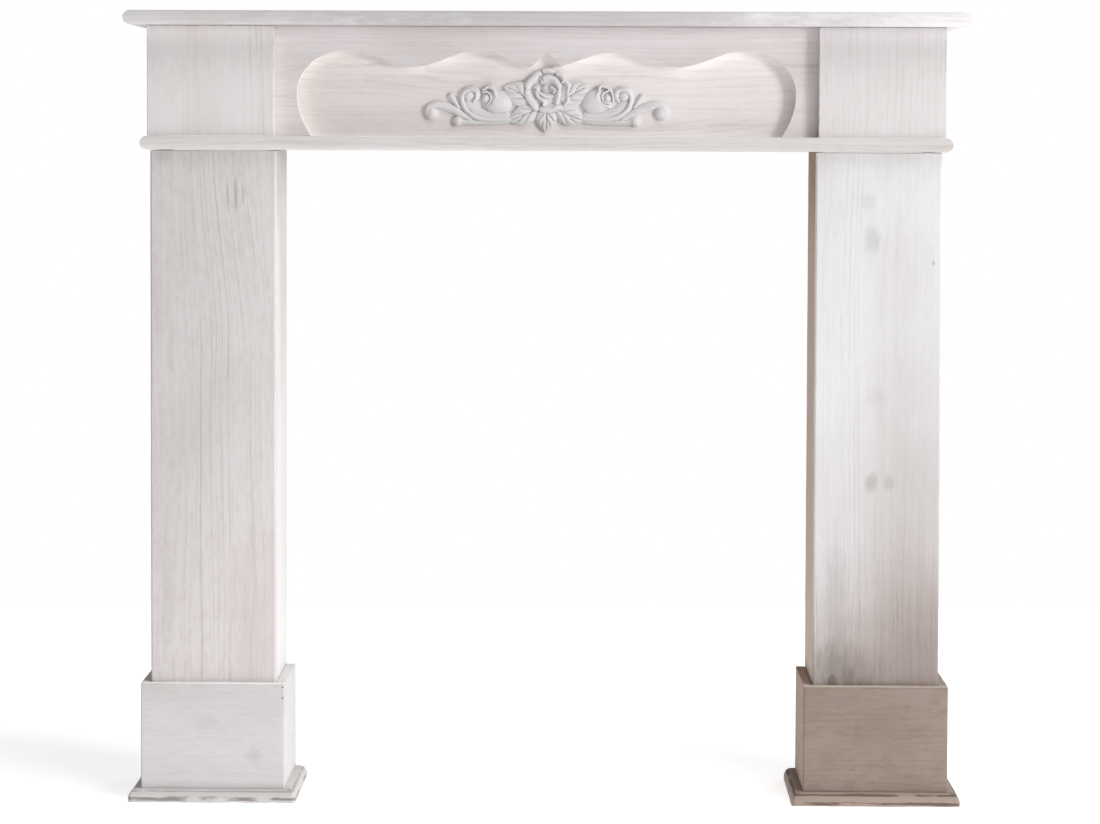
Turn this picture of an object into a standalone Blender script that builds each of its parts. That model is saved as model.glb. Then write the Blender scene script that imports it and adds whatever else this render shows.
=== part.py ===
"""Fireplace mantelpiece of whitewashed timber, with a wavy cut-out frieze and a cast rose ornament.

Metres, +Z up. The front faces -Y, the open back stands against the wall, and the origin is
on the floor under the middle of the shelf.
"""

from math import cos, hypot, pi, radians, sin

import bmesh
import bpy
from mathutils import Vector

# Clearance between two pieces that touch
GAP = 0.0003

# Depth from the wall to the face of the legs and end blocks
SURROUND_DEPTH = 0.160

# Shelf
SHELF_THICKNESS = 0.018
SHELF_OVERHANG_END = 0.027
SHELF_OVERHANG_FRONT = 0.030

# Frieze: end blocks, their returns, the wavy fascia and the panel behind it
FRIEZE_LENGTH = 1.006
FRIEZE_HEIGHT = 0.1384
BLOCK_WIDTH = 0.160
BLOCK_BOARD = 0.016
RETURN_BOARD = 0.012
FASCIA_BOARD = 0.016
PANEL_BOARD = 0.008
PANEL_MARGIN = 0.025

# Lower moulding
MOULDING_THICKNESS = 0.018
MOULDING_OVERHANG_END = 0.0085
MOULDING_OVERHANG_FRONT = 0.011

# Legs: a front board over two side boards, open behind
LEG_HEIGHT = 0.8084
LEG_WIDTH = 0.159
LEG_INSET = 0.0038
LEG_FRONT_BOARD = 0.016
LEG_SIDE_BOARD = 0.012

# Plinths round the foot of each leg, and the boards they stand on
PLINTH_HEIGHT = 0.134
PLINTH_BOARD = 0.0115
FOOT_THICKNESS = 0.016
FOOT_OVERHANG = 0.0150

# Edges
BULLNOSE_FLAT = 0.0004
BULLNOSE_STEPS = 6
LEG_EDGE = 0.0030
BOARD_EDGE = 0.0012
PLINTH_EDGE = 0.0020
FOOT_EDGE = 0.0105
FOOT_CORNER = 0.0050

# Rose ornament, and how far its forms stand out of the panel. The forms are drawn on a
# template of TEMPLATE_LENGTH units, which ORNAMENT_LENGTH stretches over the real length.
ORNAMENT_LENGTH = 0.318
ROSE_RELIEF = 0.0120
LEAF_RELIEF = 0.0065
BUD_RELIEF = 0.0085
SCROLL_RELIEF = 0.0060
ORNAMENT_SINK = 0.0040
CASTING_GRAIN = 0.0008
CASTING_FACES_KEPT = 0.045
TEMPLATE_LENGTH = 318.0
TEMPLATE_TOP = 86.6
ROSE_CENTRE = 58.0
ROSE_RADIUS = 28.5

# Wavy cut-out of the fascia: heights over its lower edge, and distances from its middle
# as shares of its half length
CUT_END_MARGIN = 0.028
CUT_WIDEST_HEIGHT = 0.0540
CUT_OUTER_CREST_HEIGHT = 0.1085
CUT_VALLEY_HEIGHT = 0.0880
CUT_INNER_CREST_HEIGHT = 0.1075
CUT_ROSE_CLEARANCE = 0.0020
CUT_NOTCH_RISE = 0.0180
CUT_FOOT_SHARE = 0.943
CUT_OUTER_CREST_SHARE = 0.794
CUT_VALLEY_SHARE = 0.529
CUT_INNER_CREST_SHARE = 0.281
CUT_STEPS = 8

# Places that follow from the sizes
WALL_Y = (SURROUND_DEPTH + SHELF_OVERHANG_FRONT) / 2
FACE_Y = WALL_Y - SURROUND_DEPTH
FRIEZE_END = FRIEZE_LENGTH / 2
LEG_OUTER = FRIEZE_END - LEG_INSET
LEG_INNER = LEG_OUTER - LEG_WIDTH
PLINTH_OUTER = LEG_OUTER + GAP + PLINTH_BOARD
PLINTH_INNER = LEG_INNER - GAP - PLINTH_BOARD
PLINTH_FACE_Y = FACE_Y - GAP - PLINTH_BOARD
LEG_BOTTOM = FOOT_THICKNESS + GAP
MOULDING_BOTTOM = LEG_BOTTOM + LEG_HEIGHT + GAP
MOULDING_TOP = MOULDING_BOTTOM + MOULDING_THICKNESS
FRIEZE_BOTTOM = MOULDING_TOP + GAP
FRIEZE_TOP = FRIEZE_BOTTOM + FRIEZE_HEIGHT
SHELF_BOTTOM = FRIEZE_TOP + GAP
FASCIA_FACE_Y = FACE_Y + BLOCK_BOARD + GAP
PANEL_FACE_Y = FASCIA_FACE_Y + FASCIA_BOARD + GAP
CUT_HALF = FRIEZE_END - BLOCK_WIDTH - CUT_END_MARGIN
UNIT = ORNAMENT_LENGTH / TEMPLATE_LENGTH

WHITEWASH = (0.79, 0.75, 0.72)
WHITEWASH_COOL = (0.80, 0.79, 0.78)
CAST_WHITE = (0.77, 0.76, 0.77)


def clear_scene():
    for obj in list(bpy.data.objects):
        bpy.data.objects.remove(obj, do_unlink=True)


def new_collection(name, hidden=False):
    made = bpy.data.collections.new(name)
    bpy.context.scene.collection.children.link(made)
    made.hide_render = hidden
    return made


def finish(obj, colour, roughness=0.65):
    material = bpy.data.materials.new(obj.name + "_finish")
    material.use_nodes = True
    shader = material.node_tree.nodes["Principled BSDF"]
    shader.inputs["Base Color"].default_value = (*colour, 1.0)
    shader.inputs["Roughness"].default_value = roughness
    shader.inputs["Metallic"].default_value = 0.0
    obj.data.materials.append(material)


def object_from(bm, name, where, location=(0, 0, 0)):
    mesh = bpy.data.meshes.new(name)
    bm.to_mesh(mesh)
    bm.free()
    obj = bpy.data.objects.new(name, mesh)
    obj.location = location
    where.objects.link(obj)
    return obj


def block_mesh(size):
    """A box centred on its origin."""
    bm = bmesh.new()
    bmesh.ops.create_cube(bm, size=1.0)
    bmesh.ops.scale(bm, vec=size, verts=bm.verts)
    return bm


def edges_where(bm, test):
    """The edges whose two ends both pass the test."""
    return [edge for edge in bm.edges if all(test(vert.co) for vert in edge.verts)]


def round_edges(bm, edges, radius, steps):
    bmesh.ops.bevel(
        bm, geom=edges, offset=radius, offset_type="OFFSET", segments=steps, profile=0.5, affect="EDGES"
    )


def board(name, low, high, colour, edge=BOARD_EDGE, steps=2):
    """A board between two corners, with its front edges eased."""
    size = Vector(high) - Vector(low)
    middle = (Vector(high) + Vector(low)) / 2
    bm = block_mesh(size)
    front = edges_where(bm, lambda co: co.y < 0)
    round_edges(bm, front, min(edge, size.x / 3, size.z / 3), steps)
    obj = object_from(bm, name, PARTS, middle)
    finish(obj, colour)
    return obj


def bullnose_board(name, low, high, colour):
    """A board whose front and two ends are half-round, and whose back is square."""
    size = Vector(high) - Vector(low)
    middle = (Vector(high) + Vector(low)) / 2
    bm = block_mesh(size)
    level = [edge for edge in bm.edges if abs(edge.verts[0].co.z - edge.verts[1].co.z) < size.z / 2]
    back = set(edges_where(bm, lambda co: co.y > 0))
    round_edges(bm, [edge for edge in level if edge not in back], (size.z - BULLNOSE_FLAT) / 2, BULLNOSE_STEPS)
    obj = object_from(bm, name, PARTS, middle)
    finish(obj, colour)
    return obj


def foot_board(name, low, high, colour):
    """A board with round front corners in plan and its top rounded over, all but at the back."""
    size = Vector(high) - Vector(low)
    middle = (Vector(high) + Vector(low)) / 2
    bm = block_mesh(size)
    front = edges_where(bm, lambda co: co.y < 0)
    corners = [edge for edge in front if edge.verts[0].co.z != edge.verts[1].co.z]
    round_edges(bm, corners, FOOT_CORNER, 3)
    top = set(edges_where(bm, lambda co: co.z > 0))
    back = set(edges_where(bm, lambda co: co.y > size.y / 2 - FOOT_CORNER / 2))
    round_edges(bm, list(top - back), min(FOOT_EDGE, size.z * 0.8), 4)
    obj = object_from(bm, name, PARTS, middle)
    finish(obj, colour)
    return obj


def wave(start, end, reach=1.0):
    """Points of a cosine swing from one turning point towards another, cut short where reach is under 1."""
    points = []
    full = 1 - cos(pi * reach)
    for step in range(1, CUT_STEPS + 1):
        share = step / CUT_STEPS
        swing = (1 - cos(pi * reach * share)) / full
        points.append((start[0] + (end[0] - start[0]) * share, start[1] + (end[1] - start[1]) * swing))
    return points


def cut_out_half():
    """The cut-out's right half, from its foot to the point beside the notch."""
    foot = CUT_HALF * CUT_FOOT_SHARE
    outer_crest = (CUT_HALF * CUT_OUTER_CREST_SHARE, CUT_OUTER_CREST_HEIGHT)
    valley = (CUT_HALF * CUT_VALLEY_SHARE, CUT_VALLEY_HEIGHT)
    inner_crest = (CUT_HALF * CUT_INNER_CREST_SHARE, CUT_INNER_CREST_HEIGHT)
    cusp = (CUT_NOTCH_RISE, TEMPLATE_TOP * UNIT + CUT_ROSE_CLEARANCE)
    points = []
    for step in range(CUT_STEPS):
        share = 1 - step / CUT_STEPS
        points.append((CUT_HALF - (CUT_HALF - foot) * share**2, CUT_WIDEST_HEIGHT * (1 - share)))
    for step in range(CUT_STEPS + 1):
        turn = pi / 2 * step / CUT_STEPS
        out = outer_crest[0] + (CUT_HALF - outer_crest[0]) * cos(turn)
        points.append((out, CUT_WIDEST_HEIGHT + (outer_crest[1] - CUT_WIDEST_HEIGHT) * sin(turn)))
    points += wave(outer_crest, valley)
    points += wave(valley, inner_crest)
    points += wave(inner_crest, cusp, reach=0.8)
    return points


def frieze_fascia(colour):
    """The front board of the frieze: a flat outline with the wavy cut-out, as thick as its board."""
    half_length = FRIEZE_END - RETURN_BOARD - GAP
    right = cut_out_half()
    outline = [(half_length, FRIEZE_HEIGHT), (-half_length, FRIEZE_HEIGHT), (-half_length, 0.0)]
    outline += [(-x, z) for x, z in right]
    outline.append((0.0, right[-1][1] + CUT_NOTCH_RISE))
    outline += list(reversed(right))
    outline.append((half_length, 0.0))
    bm = bmesh.new()
    verts = [bm.verts.new((x, 0.0, z)) for x, z in outline]
    face = bm.faces.new(verts)
    pushed = bmesh.ops.extrude_face_region(bm, geom=[face])
    moved = [item for item in pushed["geom"] if isinstance(item, bmesh.types.BMVert)]
    bmesh.ops.translate(bm, vec=(0, FASCIA_BOARD, 0), verts=moved)
    bmesh.ops.recalc_face_normals(bm, faces=bm.faces)
    obj = object_from(bm, "frieze_fascia", PARTS, (0, FASCIA_FACE_Y, FRIEZE_BOTTOM))
    finish(obj, colour)
    return obj


def loft(rings):
    """A closed solid through closed rings that all have the same number of points."""
    bm = bmesh.new()
    rows = [[bm.verts.new(point) for point in ring] for ring in rings]
    count = len(rings[0])
    for near, far in zip(rows, rows[1:]):
        for i in range(count):
            j = (i + 1) % count
            bm.faces.new((near[i], near[j], far[j], far[i]))
    bm.faces.new(rows[0][::-1])
    bm.faces.new(rows[-1])
    bmesh.ops.recalc_face_normals(bm, faces=bm.faces)
    return bm


def through(points, steps):
    """A smooth run through tuples of numbers, with this many steps between each two."""
    ends = [points[0], *points, points[-1]]
    run = []
    for before, start, end, after in zip(ends, ends[1:], ends[2:], ends[3:]):
        for step in range(steps):
            t = step / steps
            run.append(
                tuple(
                    0.5
                    * (
                        2 * b
                        + (c - a) * t
                        + (2 * a - 5 * b + 4 * c - d) * t**2
                        + (3 * b - a - 3 * c + d) * t**3
                    )
                    for a, b, c, d in zip(before, start, end, after)
                )
            )
    run.append(points[-1])
    return run


def relief_point(u, v, height):
    """A point of the ornament: across and up in template units, and metres out of the panel."""
    return Vector((u * UNIT, -height, v * UNIT))


def headings(run):
    """The direction of travel at each point of a run."""
    found = []
    for i in range(len(run)):
        a, b = run[max(i - 1, 0)], run[min(i + 1, len(run) - 1)]
        span = hypot(b[0] - a[0], b[1] - a[1])
        found.append(((b[0] - a[0]) / span, (b[1] - a[1]) / span))
    return found


def round_section(half_width, height):
    """Half a round, with feet sunk into the panel."""
    arc = [(half_width * cos(pi * k / 6), height * sin(pi * k / 6)) for k in range(7)]
    return [(half_width, -ORNAMENT_SINK), *arc, (-half_width, -ORNAMENT_SINK)]


def lip_section(half_width, height):
    """A petal: its rolled lip on one side, and a long slope down into the flower on the other."""
    return [
        (half_width, -ORNAMENT_SINK),
        (half_width * 1.15, height * 0.62),
        (half_width * 0.95, height * 0.90),
        (0.0, height),
        (-half_width * 0.9, height * 0.90),
        (-half_width * 2.6, height * 0.45),
        (-half_width * 2.8, -ORNAMENT_SINK),
    ]


def ridge(points, steps=3, section=round_section):
    """A solid along (across, up, half width, height) points, with rounded ends."""
    run = through(points, steps)
    ways = headings(run)
    stations = []
    for (u, v, half_width, height), (du, dv) in zip(run, ways):
        stations.append((u, v, half_width, height, du, dv))
    first, last = stations[0], stations[-1]
    for turn in (radians(35), radians(70)):
        for end, sign in ((first, -1), (last, 1)):
            u, v, half_width, height, du, dv = end
            out = sign * half_width * sin(turn)
            size = cos(turn)
            cap = (u + out * du, v + out * dv, half_width * size, height * (0.4 + 0.6 * size), du, dv)
            if sign < 0:
                stations.insert(0, cap)
            else:
                stations.append(cap)
    rings = []
    for u, v, half_width, height, du, dv in stations:
        ring = [
            relief_point(u + dv * offset, v - du * offset, rise) for offset, rise in section(half_width, height)
        ]
        rings.append(ring)
    return loft(rings)


def dome(u, v, across, up, height, lean=0.0):
    """Half an egg, its other half sunk behind the panel."""
    bm = bmesh.new()
    bmesh.ops.create_uvsphere(bm, u_segments=14, v_segments=8, radius=1.0)
    for vert in bm.verts:
        x, y, z = vert.co
        turned_u = across * x * cos(lean) - up * y * sin(lean)
        turned_v = across * x * sin(lean) + up * y * cos(lean)
        vert.co = relief_point(u + turned_u, v + turned_v, max(height * z, -ORNAMENT_SINK))
    bmesh.ops.recalc_face_normals(bm, faces=bm.faces)
    return bm


def leaf(base, tip, half_width, height, bend=0.0, stations=8):
    """A pointed leaf with two swelling halves and a groove along its middle."""
    du, dv = tip[0] - base[0], tip[1] - base[1]
    length = hypot(du, dv)
    du, dv = du / length, dv / length
    rings = []
    for k in range(stations + 1):
        t = 0.04 + 0.95 * k / stations
        width = half_width * sin(pi * t**0.8) ** 0.75
        middle = bend * sin(pi * t)
        along = length * t
        rise = height * (0.55 + 0.45 * sin(pi * min(1.0, t * 1.1)))
        across = [(1.0, 0.35), (0.80, 0.80), (0.45, 1.0), (0.14, 0.86), (0.0, 0.62)]
        profile = across + [(-x, z) for x, z in reversed(across[:-1])]
        section = [(1.0, None), *profile, (-1.0, None)]
        ring = []
        for share, level in section:
            out = width * share + middle
            u = base[0] + du * along + dv * out
            v = base[1] + dv * along - du * out
            ring.append(relief_point(u, v, -ORNAMENT_SINK if level is None else rise * level))
        rings.append(ring)
    return loft(rings)


def petal(lip, half_width, height):
    """A petal whose lip runs through (angle, radius) points round the rose's middle."""
    points = []
    for angle, radius in lip:
        u = radius * ROSE_RADIUS * cos(radians(angle))
        v = ROSE_CENTRE + radius * ROSE_RADIUS * sin(radians(angle))
        points.append((u, v, half_width, height * ROSE_RELIEF))
    return ridge(points, steps=3, section=lip_section)


def rose():
    """The rose: a low mound, an outer, a middle and an inner ring of petals, and a bud."""
    lip = 3.0
    yield dome(0, ROSE_CENTRE, ROSE_RADIUS * 0.84, ROSE_RADIUS * 0.84, ROSE_RELIEF * 0.52)
    outer = (
        (0.68, ((58, 0.84), (80, 0.90), (104, 0.82))),
        (0.74, ((28, 0.90), (42, 0.92), (66, 0.80))),
        (0.70, ((-38, 0.96), (-22, 0.98), (8, 0.95), (24, 0.86))),
        (0.78, ((-112, 0.84), (-80, 0.90), (-46, 0.90))),
        (0.74, ((180, 0.88), (204, 0.85), (246, 0.90))),
        (0.70, ((104, 0.78), (135, 0.76), (160, 0.85), (178, 0.88))),
    )
    for height, points in outer:
        yield petal(points, lip, height)
    middle = (
        (0.88, ((8, 0.60), (36, 0.58), (70, 0.56), (100, 0.60))),
        (0.84, ((-56, 0.72), (-24, 0.60), (6, 0.60))),
        (0.86, ((172, 0.56), (195, 0.44), (222, 0.42), (258, 0.50))),
    )
    for height, points in middle:
        yield petal(points, lip * 0.8, height)
    inner = (
        (0.95, ((204, 0.32), (240, 0.29), (304, 0.30), (330, 0.35))),
        (0.97, ((-28, 0.34), (5, 0.36), (50, 0.31))),
    )
    for height, points in inner:
        yield petal(points, lip * 0.6, height)
    yield dome(-1.6, ROSE_CENTRE + 2.2, ROSE_RADIUS * 0.22, ROSE_RADIUS * 0.22, ROSE_RELIEF)


def sprig(side):
    """The leaves, bud and scrolls on one side of the rose: side is -1 on the left and 1 on the right."""

    def out(points):
        return [(side * u, v, half_width, height) for u, v, half_width, height in points]

    yield leaf((side * 13.0, 35.5), (side * 48.5, 19.0), 11.2, LEAF_RELIEF, side * 1.2)
    yield leaf((side * 25.5, 44.0), (side * 54.5, 62.0), 11.2, LEAF_RELIEF, side * -1.0)

    # Bud
    yield dome(side * 64.0, 44.2, 19.5, 14.0, BUD_RELIEF, side * radians(12))
    lip = BUD_RELIEF * 1.08
    yield ridge(
        out(
            [
                (77.5, 60.0, 2.1, lip * 0.8),
                (69.3, 62.0, 2.4, lip),
                (65.5, 52.0, 2.2, lip * 1.05),
                (61.2, 45.0, 2.0, lip),
                (55.5, 41.0, 1.6, lip * 0.9),
            ]
        )
    )
    yield ridge(
        out(
            [
                (81.0, 44.0, 2.0, lip * 0.6),
                (81.5, 53.0, 2.2, lip * 0.8),
                (76.2, 56.8, 2.0, lip * 0.95),
                (71.2, 51.5, 2.0, lip),
                (72.8, 42.5, 1.8, lip * 0.9),
            ]
        )
    )
    yield dome(side * 75.2, 53.0, 7.8, 8.5, BUD_RELIEF * 0.92)
    yield dome(side * 76.5, 48.0, 4.2, 4.6, lip)

    # Web between the volute and the bud
    yield ridge(
        out(
            [
                (99.0, 41.0, 6.0, SCROLL_RELIEF * 0.50),
                (89.0, 31.0, 7.5, SCROLL_RELIEF * 0.55),
                (74.0, 25.0, 8.0, SCROLL_RELIEF * 0.60),
                (52.0, 25.0, 7.5, SCROLL_RELIEF * 0.65),
            ]
        )
    )

    # Volute: a raised rim that rises from the stem and curls over at its head
    yield ridge(
        out(
            [
                (48.0, 20.5, 4.2, SCROLL_RELIEF * 0.85),
                (72.0, 19.5, 4.4, SCROLL_RELIEF * 0.90),
                (90.0, 23.5, 4.2, SCROLL_RELIEF),
                (101.5, 32.0, 3.8, SCROLL_RELIEF),
                (107.0, 42.0, 3.6, SCROLL_RELIEF * 1.05),
                (107.5, 51.5, 3.8, SCROLL_RELIEF * 1.10),
                (102.0, 58.5, 4.2, SCROLL_RELIEF * 1.15),
                (94.0, 60.5, 4.6, SCROLL_RELIEF * 1.15),
                (87.8, 56.0, 4.6, SCROLL_RELIEF * 1.10),
                (88.0, 49.0, 4.2, SCROLL_RELIEF),
            ]
        )
    )
    yield dome(side * 99.5, 51.5, 5.8, 4.6, SCROLL_RELIEF * 0.95, side * radians(-20))

    # Stem with its knob
    yield ridge(
        out(
            [
                (50.0, 18.5, 3.6, SCROLL_RELIEF * 0.70),
                (74.0, 17.2, 3.8, SCROLL_RELIEF * 0.75),
                (98.0, 17.8, 4.2, SCROLL_RELIEF * 0.80),
                (109.0, 18.8, 5.0, SCROLL_RELIEF * 0.85),
            ]
        )
    )
    yield dome(side * 113.0, 19.0, 6.4, 6.4, SCROLL_RELIEF * 1.05)

    # Outer scroll, which ends in a ball
    yield ridge(
        out(
            [
                (97.0, 21.5, 4.0, SCROLL_RELIEF * 0.80),
                (109.0, 27.2, 4.6, SCROLL_RELIEF * 0.90),
                (119.5, 32.5, 5.2, SCROLL_RELIEF * 0.90),
                (130.0, 35.7, 6.0, SCROLL_RELIEF * 0.90),
                (140.0, 36.2, 6.8, SCROLL_RELIEF * 0.95),
                (146.0, 34.5, 7.6, SCROLL_RELIEF),
            ]
        )
    )
    yield dome(side * 148.5, 31.2, 10.8, 11.8, SCROLL_RELIEF * 1.15)

    # Small curl behind the volute
    yield ridge(
        out(
            [
                (111.5, 37.0, 2.4, SCROLL_RELIEF * 0.70),
                (117.0, 45.0, 3.6, SCROLL_RELIEF * 0.80),
                (120.8, 50.8, 4.2, SCROLL_RELIEF * 0.80),
            ]
        )
    )


def rose_ornament(colour):
    """All the ornament's forms melted into one casting, flat at the back."""
    forms = [*rose(), leaf((0, 35.0), (-1.0, 5.2), 13.2, LEAF_RELIEF), *sprig(-1), *sprig(1)]
    location = (0, PANEL_FACE_Y - GAP, FRIEZE_BOTTOM)
    casting = bmesh.new()
    for form in forms:
        shape = bpy.data.meshes.new("ornament_form")
        form.to_mesh(shape)
        form.free()
        casting.from_mesh(shape)
        bpy.data.meshes.remove(shape)
    body = object_from(casting, "rose_ornament", PARTS, location)
    melt = body.modifiers.new("melt", "REMESH")
    melt.mode = "VOXEL"
    melt.voxel_size = CASTING_GRAIN
    fewer = body.modifiers.new("fewer_faces", "DECIMATE")
    fewer.ratio = CASTING_FACES_KEPT
    behind = block_mesh((0.5, 0.02, 0.3))
    bmesh.ops.translate(behind, vec=(0, 0.01, 0.05), verts=behind.verts)
    cutter = object_from(behind, "ornament_back_cut", GUIDES, location)
    hide_guide(cutter)
    cut = body.modifiers.new("flat_back", "BOOLEAN")
    cut.operation = "DIFFERENCE"
    cut.solver = "EXACT"
    cut.object = cutter
    finish(body, colour, 0.55)
    return body


def hide_guide(obj):
    obj.hide_render = True
    obj.display_type = "WIRE"


def span(side, inner, outer):
    """The two ends across of a piece on one side, lowest first."""
    return sorted((side * inner, side * outer))


def end_block(side, word):
    low_x, high_x = span(side, FRIEZE_END - BLOCK_WIDTH, FRIEZE_END)
    front_back_y = FACE_Y + BLOCK_BOARD
    board(
        f"{word}_block_front",
        (low_x, FACE_Y, FRIEZE_BOTTOM),
        (high_x, front_back_y, FRIEZE_TOP),
        WHITEWASH,
    )
    low_x, high_x = span(side, FRIEZE_END - RETURN_BOARD, FRIEZE_END)
    board(
        f"{word}_block_return",
        (low_x, front_back_y + GAP, FRIEZE_BOTTOM),
        (high_x, WALL_Y, FRIEZE_TOP),
        WHITEWASH,
        steps=1,
    )


def leg(side, word):
    top = LEG_BOTTOM + LEG_HEIGHT
    low_x, high_x = span(side, LEG_INNER, LEG_OUTER)
    front_back_y = FACE_Y + LEG_FRONT_BOARD
    board(
        f"{word}_leg_front",
        (low_x, FACE_Y, LEG_BOTTOM),
        (high_x, front_back_y, top),
        WHITEWASH_COOL,
        edge=LEG_EDGE,
        steps=3,
    )
    sides = (
        ("inner", LEG_INNER, LEG_INNER + LEG_SIDE_BOARD),
        ("outer", LEG_OUTER - LEG_SIDE_BOARD, LEG_OUTER),
    )
    for place, near, far in sides:
        low_x, high_x = span(side, near, far)
        board(
            f"{word}_leg_{place}_side",
            (low_x, front_back_y + GAP, LEG_BOTTOM),
            (high_x, WALL_Y, top),
            WHITEWASH_COOL,
            steps=1,
        )


def plinth(side, word):
    top = LEG_BOTTOM + PLINTH_HEIGHT
    low_x, high_x = span(side, PLINTH_INNER, PLINTH_OUTER)
    board(
        f"{word}_plinth_front",
        (low_x, PLINTH_FACE_Y, LEG_BOTTOM),
        (high_x, PLINTH_FACE_Y + PLINTH_BOARD, top),
        WHITEWASH,
        edge=PLINTH_EDGE,
    )
    sides = (
        ("inner", PLINTH_INNER, PLINTH_INNER + PLINTH_BOARD),
        ("outer", PLINTH_OUTER - PLINTH_BOARD, PLINTH_OUTER),
    )
    for place, near, far in sides:
        low_x, high_x = span(side, near, far)
        board(
            f"{word}_plinth_{place}_side",
            (low_x, PLINTH_FACE_Y + PLINTH_BOARD + GAP, LEG_BOTTOM),
            (high_x, WALL_Y, top),
            WHITEWASH,
            steps=1,
        )


def foot(side, word):
    low_x, high_x = span(side, PLINTH_INNER - FOOT_OVERHANG, PLINTH_OUTER + FOOT_OVERHANG)
    foot_board(
        f"{word}_foot_board",
        (low_x, PLINTH_FACE_Y - FOOT_OVERHANG, 0.0),
        (high_x, WALL_Y, FOOT_THICKNESS),
        WHITEWASH,
    )


def frieze():
    moulding_end = FRIEZE_END + MOULDING_OVERHANG_END
    bullnose_board(
        "lower_moulding",
        (-moulding_end, FACE_Y - MOULDING_OVERHANG_FRONT, MOULDING_BOTTOM),
        (moulding_end, WALL_Y, MOULDING_TOP),
        WHITEWASH,
    )
    frieze_fascia(WHITEWASH)
    panel_end = CUT_HALF + PANEL_MARGIN
    board(
        "recess_panel",
        (-panel_end, PANEL_FACE_Y, FRIEZE_BOTTOM),
        (panel_end, PANEL_FACE_Y + PANEL_BOARD, FRIEZE_TOP),
        WHITEWASH,
        edge=0.0005,
        steps=1,
    )
    rose_ornament(CAST_WHITE)


def mantel_shelf():
    shelf_end = FRIEZE_END + SHELF_OVERHANG_END
    bullnose_board(
        "mantel_shelf",
        (-shelf_end, FACE_Y - SHELF_OVERHANG_FRONT, SHELF_BOTTOM),
        (shelf_end, WALL_Y, SHELF_BOTTOM + SHELF_THICKNESS),
        WHITEWASH,
    )


clear_scene()
PARTS = new_collection("fireplace_mantelpiece")
GUIDES = new_collection("ornament_guides", hidden=True)
mantel_shelf()
frieze()
for sign, word in ((-1, "left"), (1, "right")):
    end_block(sign, word)
    leg(sign, word)
    plinth(sign, word)
    foot(sign, word)
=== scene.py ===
"""Looks of the fireplace mantelpiece: limewashed boards, a wavy frieze and a cast rose ornament.

Metres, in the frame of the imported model. The front faces -Y.
"""

from math import cos, exp, hypot, pi, radians, sin

import bmesh
import bpy
import numpy as np
from mathutils import Matrix, Vector, noise


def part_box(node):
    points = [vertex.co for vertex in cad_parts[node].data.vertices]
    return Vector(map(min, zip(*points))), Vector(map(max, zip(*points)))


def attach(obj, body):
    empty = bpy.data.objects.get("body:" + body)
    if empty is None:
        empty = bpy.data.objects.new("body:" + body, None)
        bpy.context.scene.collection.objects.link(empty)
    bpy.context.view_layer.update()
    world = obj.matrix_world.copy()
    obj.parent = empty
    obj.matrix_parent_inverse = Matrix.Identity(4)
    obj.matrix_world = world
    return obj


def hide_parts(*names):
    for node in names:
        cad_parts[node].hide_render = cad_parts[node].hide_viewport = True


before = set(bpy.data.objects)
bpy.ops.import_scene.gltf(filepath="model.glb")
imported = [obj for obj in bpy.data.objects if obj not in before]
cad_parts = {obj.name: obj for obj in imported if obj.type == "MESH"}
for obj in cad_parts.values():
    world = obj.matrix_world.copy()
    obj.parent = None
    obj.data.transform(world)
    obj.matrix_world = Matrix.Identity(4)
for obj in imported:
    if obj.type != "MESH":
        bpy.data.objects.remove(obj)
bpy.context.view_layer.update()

# Photograph: camera place, aim and framing
IMAGE_WIDTH = 1100
FOCAL_PIXELS = 3519
SENSOR_WIDTH = 36.0
CAMERA_PLACE = Vector((0.053, -4.5, 0.843))
CAMERA_TURN = radians(0.61)
CAMERA_TILT = radians(2.85)
CAMERA_ROLL = radians(0.21)
CAMERA_SHIFT_Y = -100 / IMAGE_WIDTH

# Edges
SHARP = radians(35)
SQUARE_CORNER = radians(80)
SLICE = 0.007
BACK_EDGE = 0.0005

# Each kind of board: how far its front edges are rounded, and how deep they are rubbed
PANEL_EDGES = (0.0005, 0.0)
BLOCK_EDGES = (0.0008, 0.0001)
RETURN_EDGES = (0.0010, 0.0002)
LEG_EDGES = (0.0024, 0.0004)
PLINTH_EDGES = (0.0020, 0.0003)
SIDE_EDGES = (0.0012, 0.0003)
SHELF_WEAR = 0.0003
MOULDING_WEAR = 0.0004
BULLNOSE_ROWS = {"Length Rows": 160, "Depth Rows": 16, "Nose Rows": 17}
FOOT_CORNER = 0.005
FOOT_ROUND = 0.0105
FOOT_REACH = 0.009
FOOT_WEAR = 0.0007

# Pin heads: their shape, and their heights on the boards
PIN_RADIUS = 0.0011
PIN_RISE = 0.00018
PIN_SIDES = 14
PIN_FROM_FRONT = 0.010
PIN_FROM_BACK = 0.012
PIN_FROM_CORNER = 0.0026
LEG_PIN_HEIGHTS = (0.22, 0.36, 0.50, 0.64, 0.78)
PLINTH_PIN_HEIGHTS = (0.028, 0.106)
BLOCK_PIN_HEIGHTS = (0.03, 0.108)
CORNER_PIN_HEIGHTS = (0.1158, 0.1290)

# Wavy cut-out of the fascia: heights over its lower edge, and distances from its middle
# as shares of its half length
CUT_HALF = 0.315
CUT_WIDEST_HEIGHT = 0.0540
CUT_OUTER_CREST_HEIGHT = 0.1085
CUT_VALLEY_HEIGHT = 0.0880
CUT_INNER_CREST_HEIGHT = 0.1075
CUT_CUSP_HEIGHT = 0.0886
CUT_NOTCH_RISE = 0.0180
CUT_FOOT_SHARE = 0.943
CUT_OUTER_CREST_SHARE = 0.794
CUT_VALLEY_SHARE = 0.529
CUT_INNER_CREST_SHARE = 0.281
CUT_STEPS = 22
CUT_EDGE = 0.0006

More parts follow.
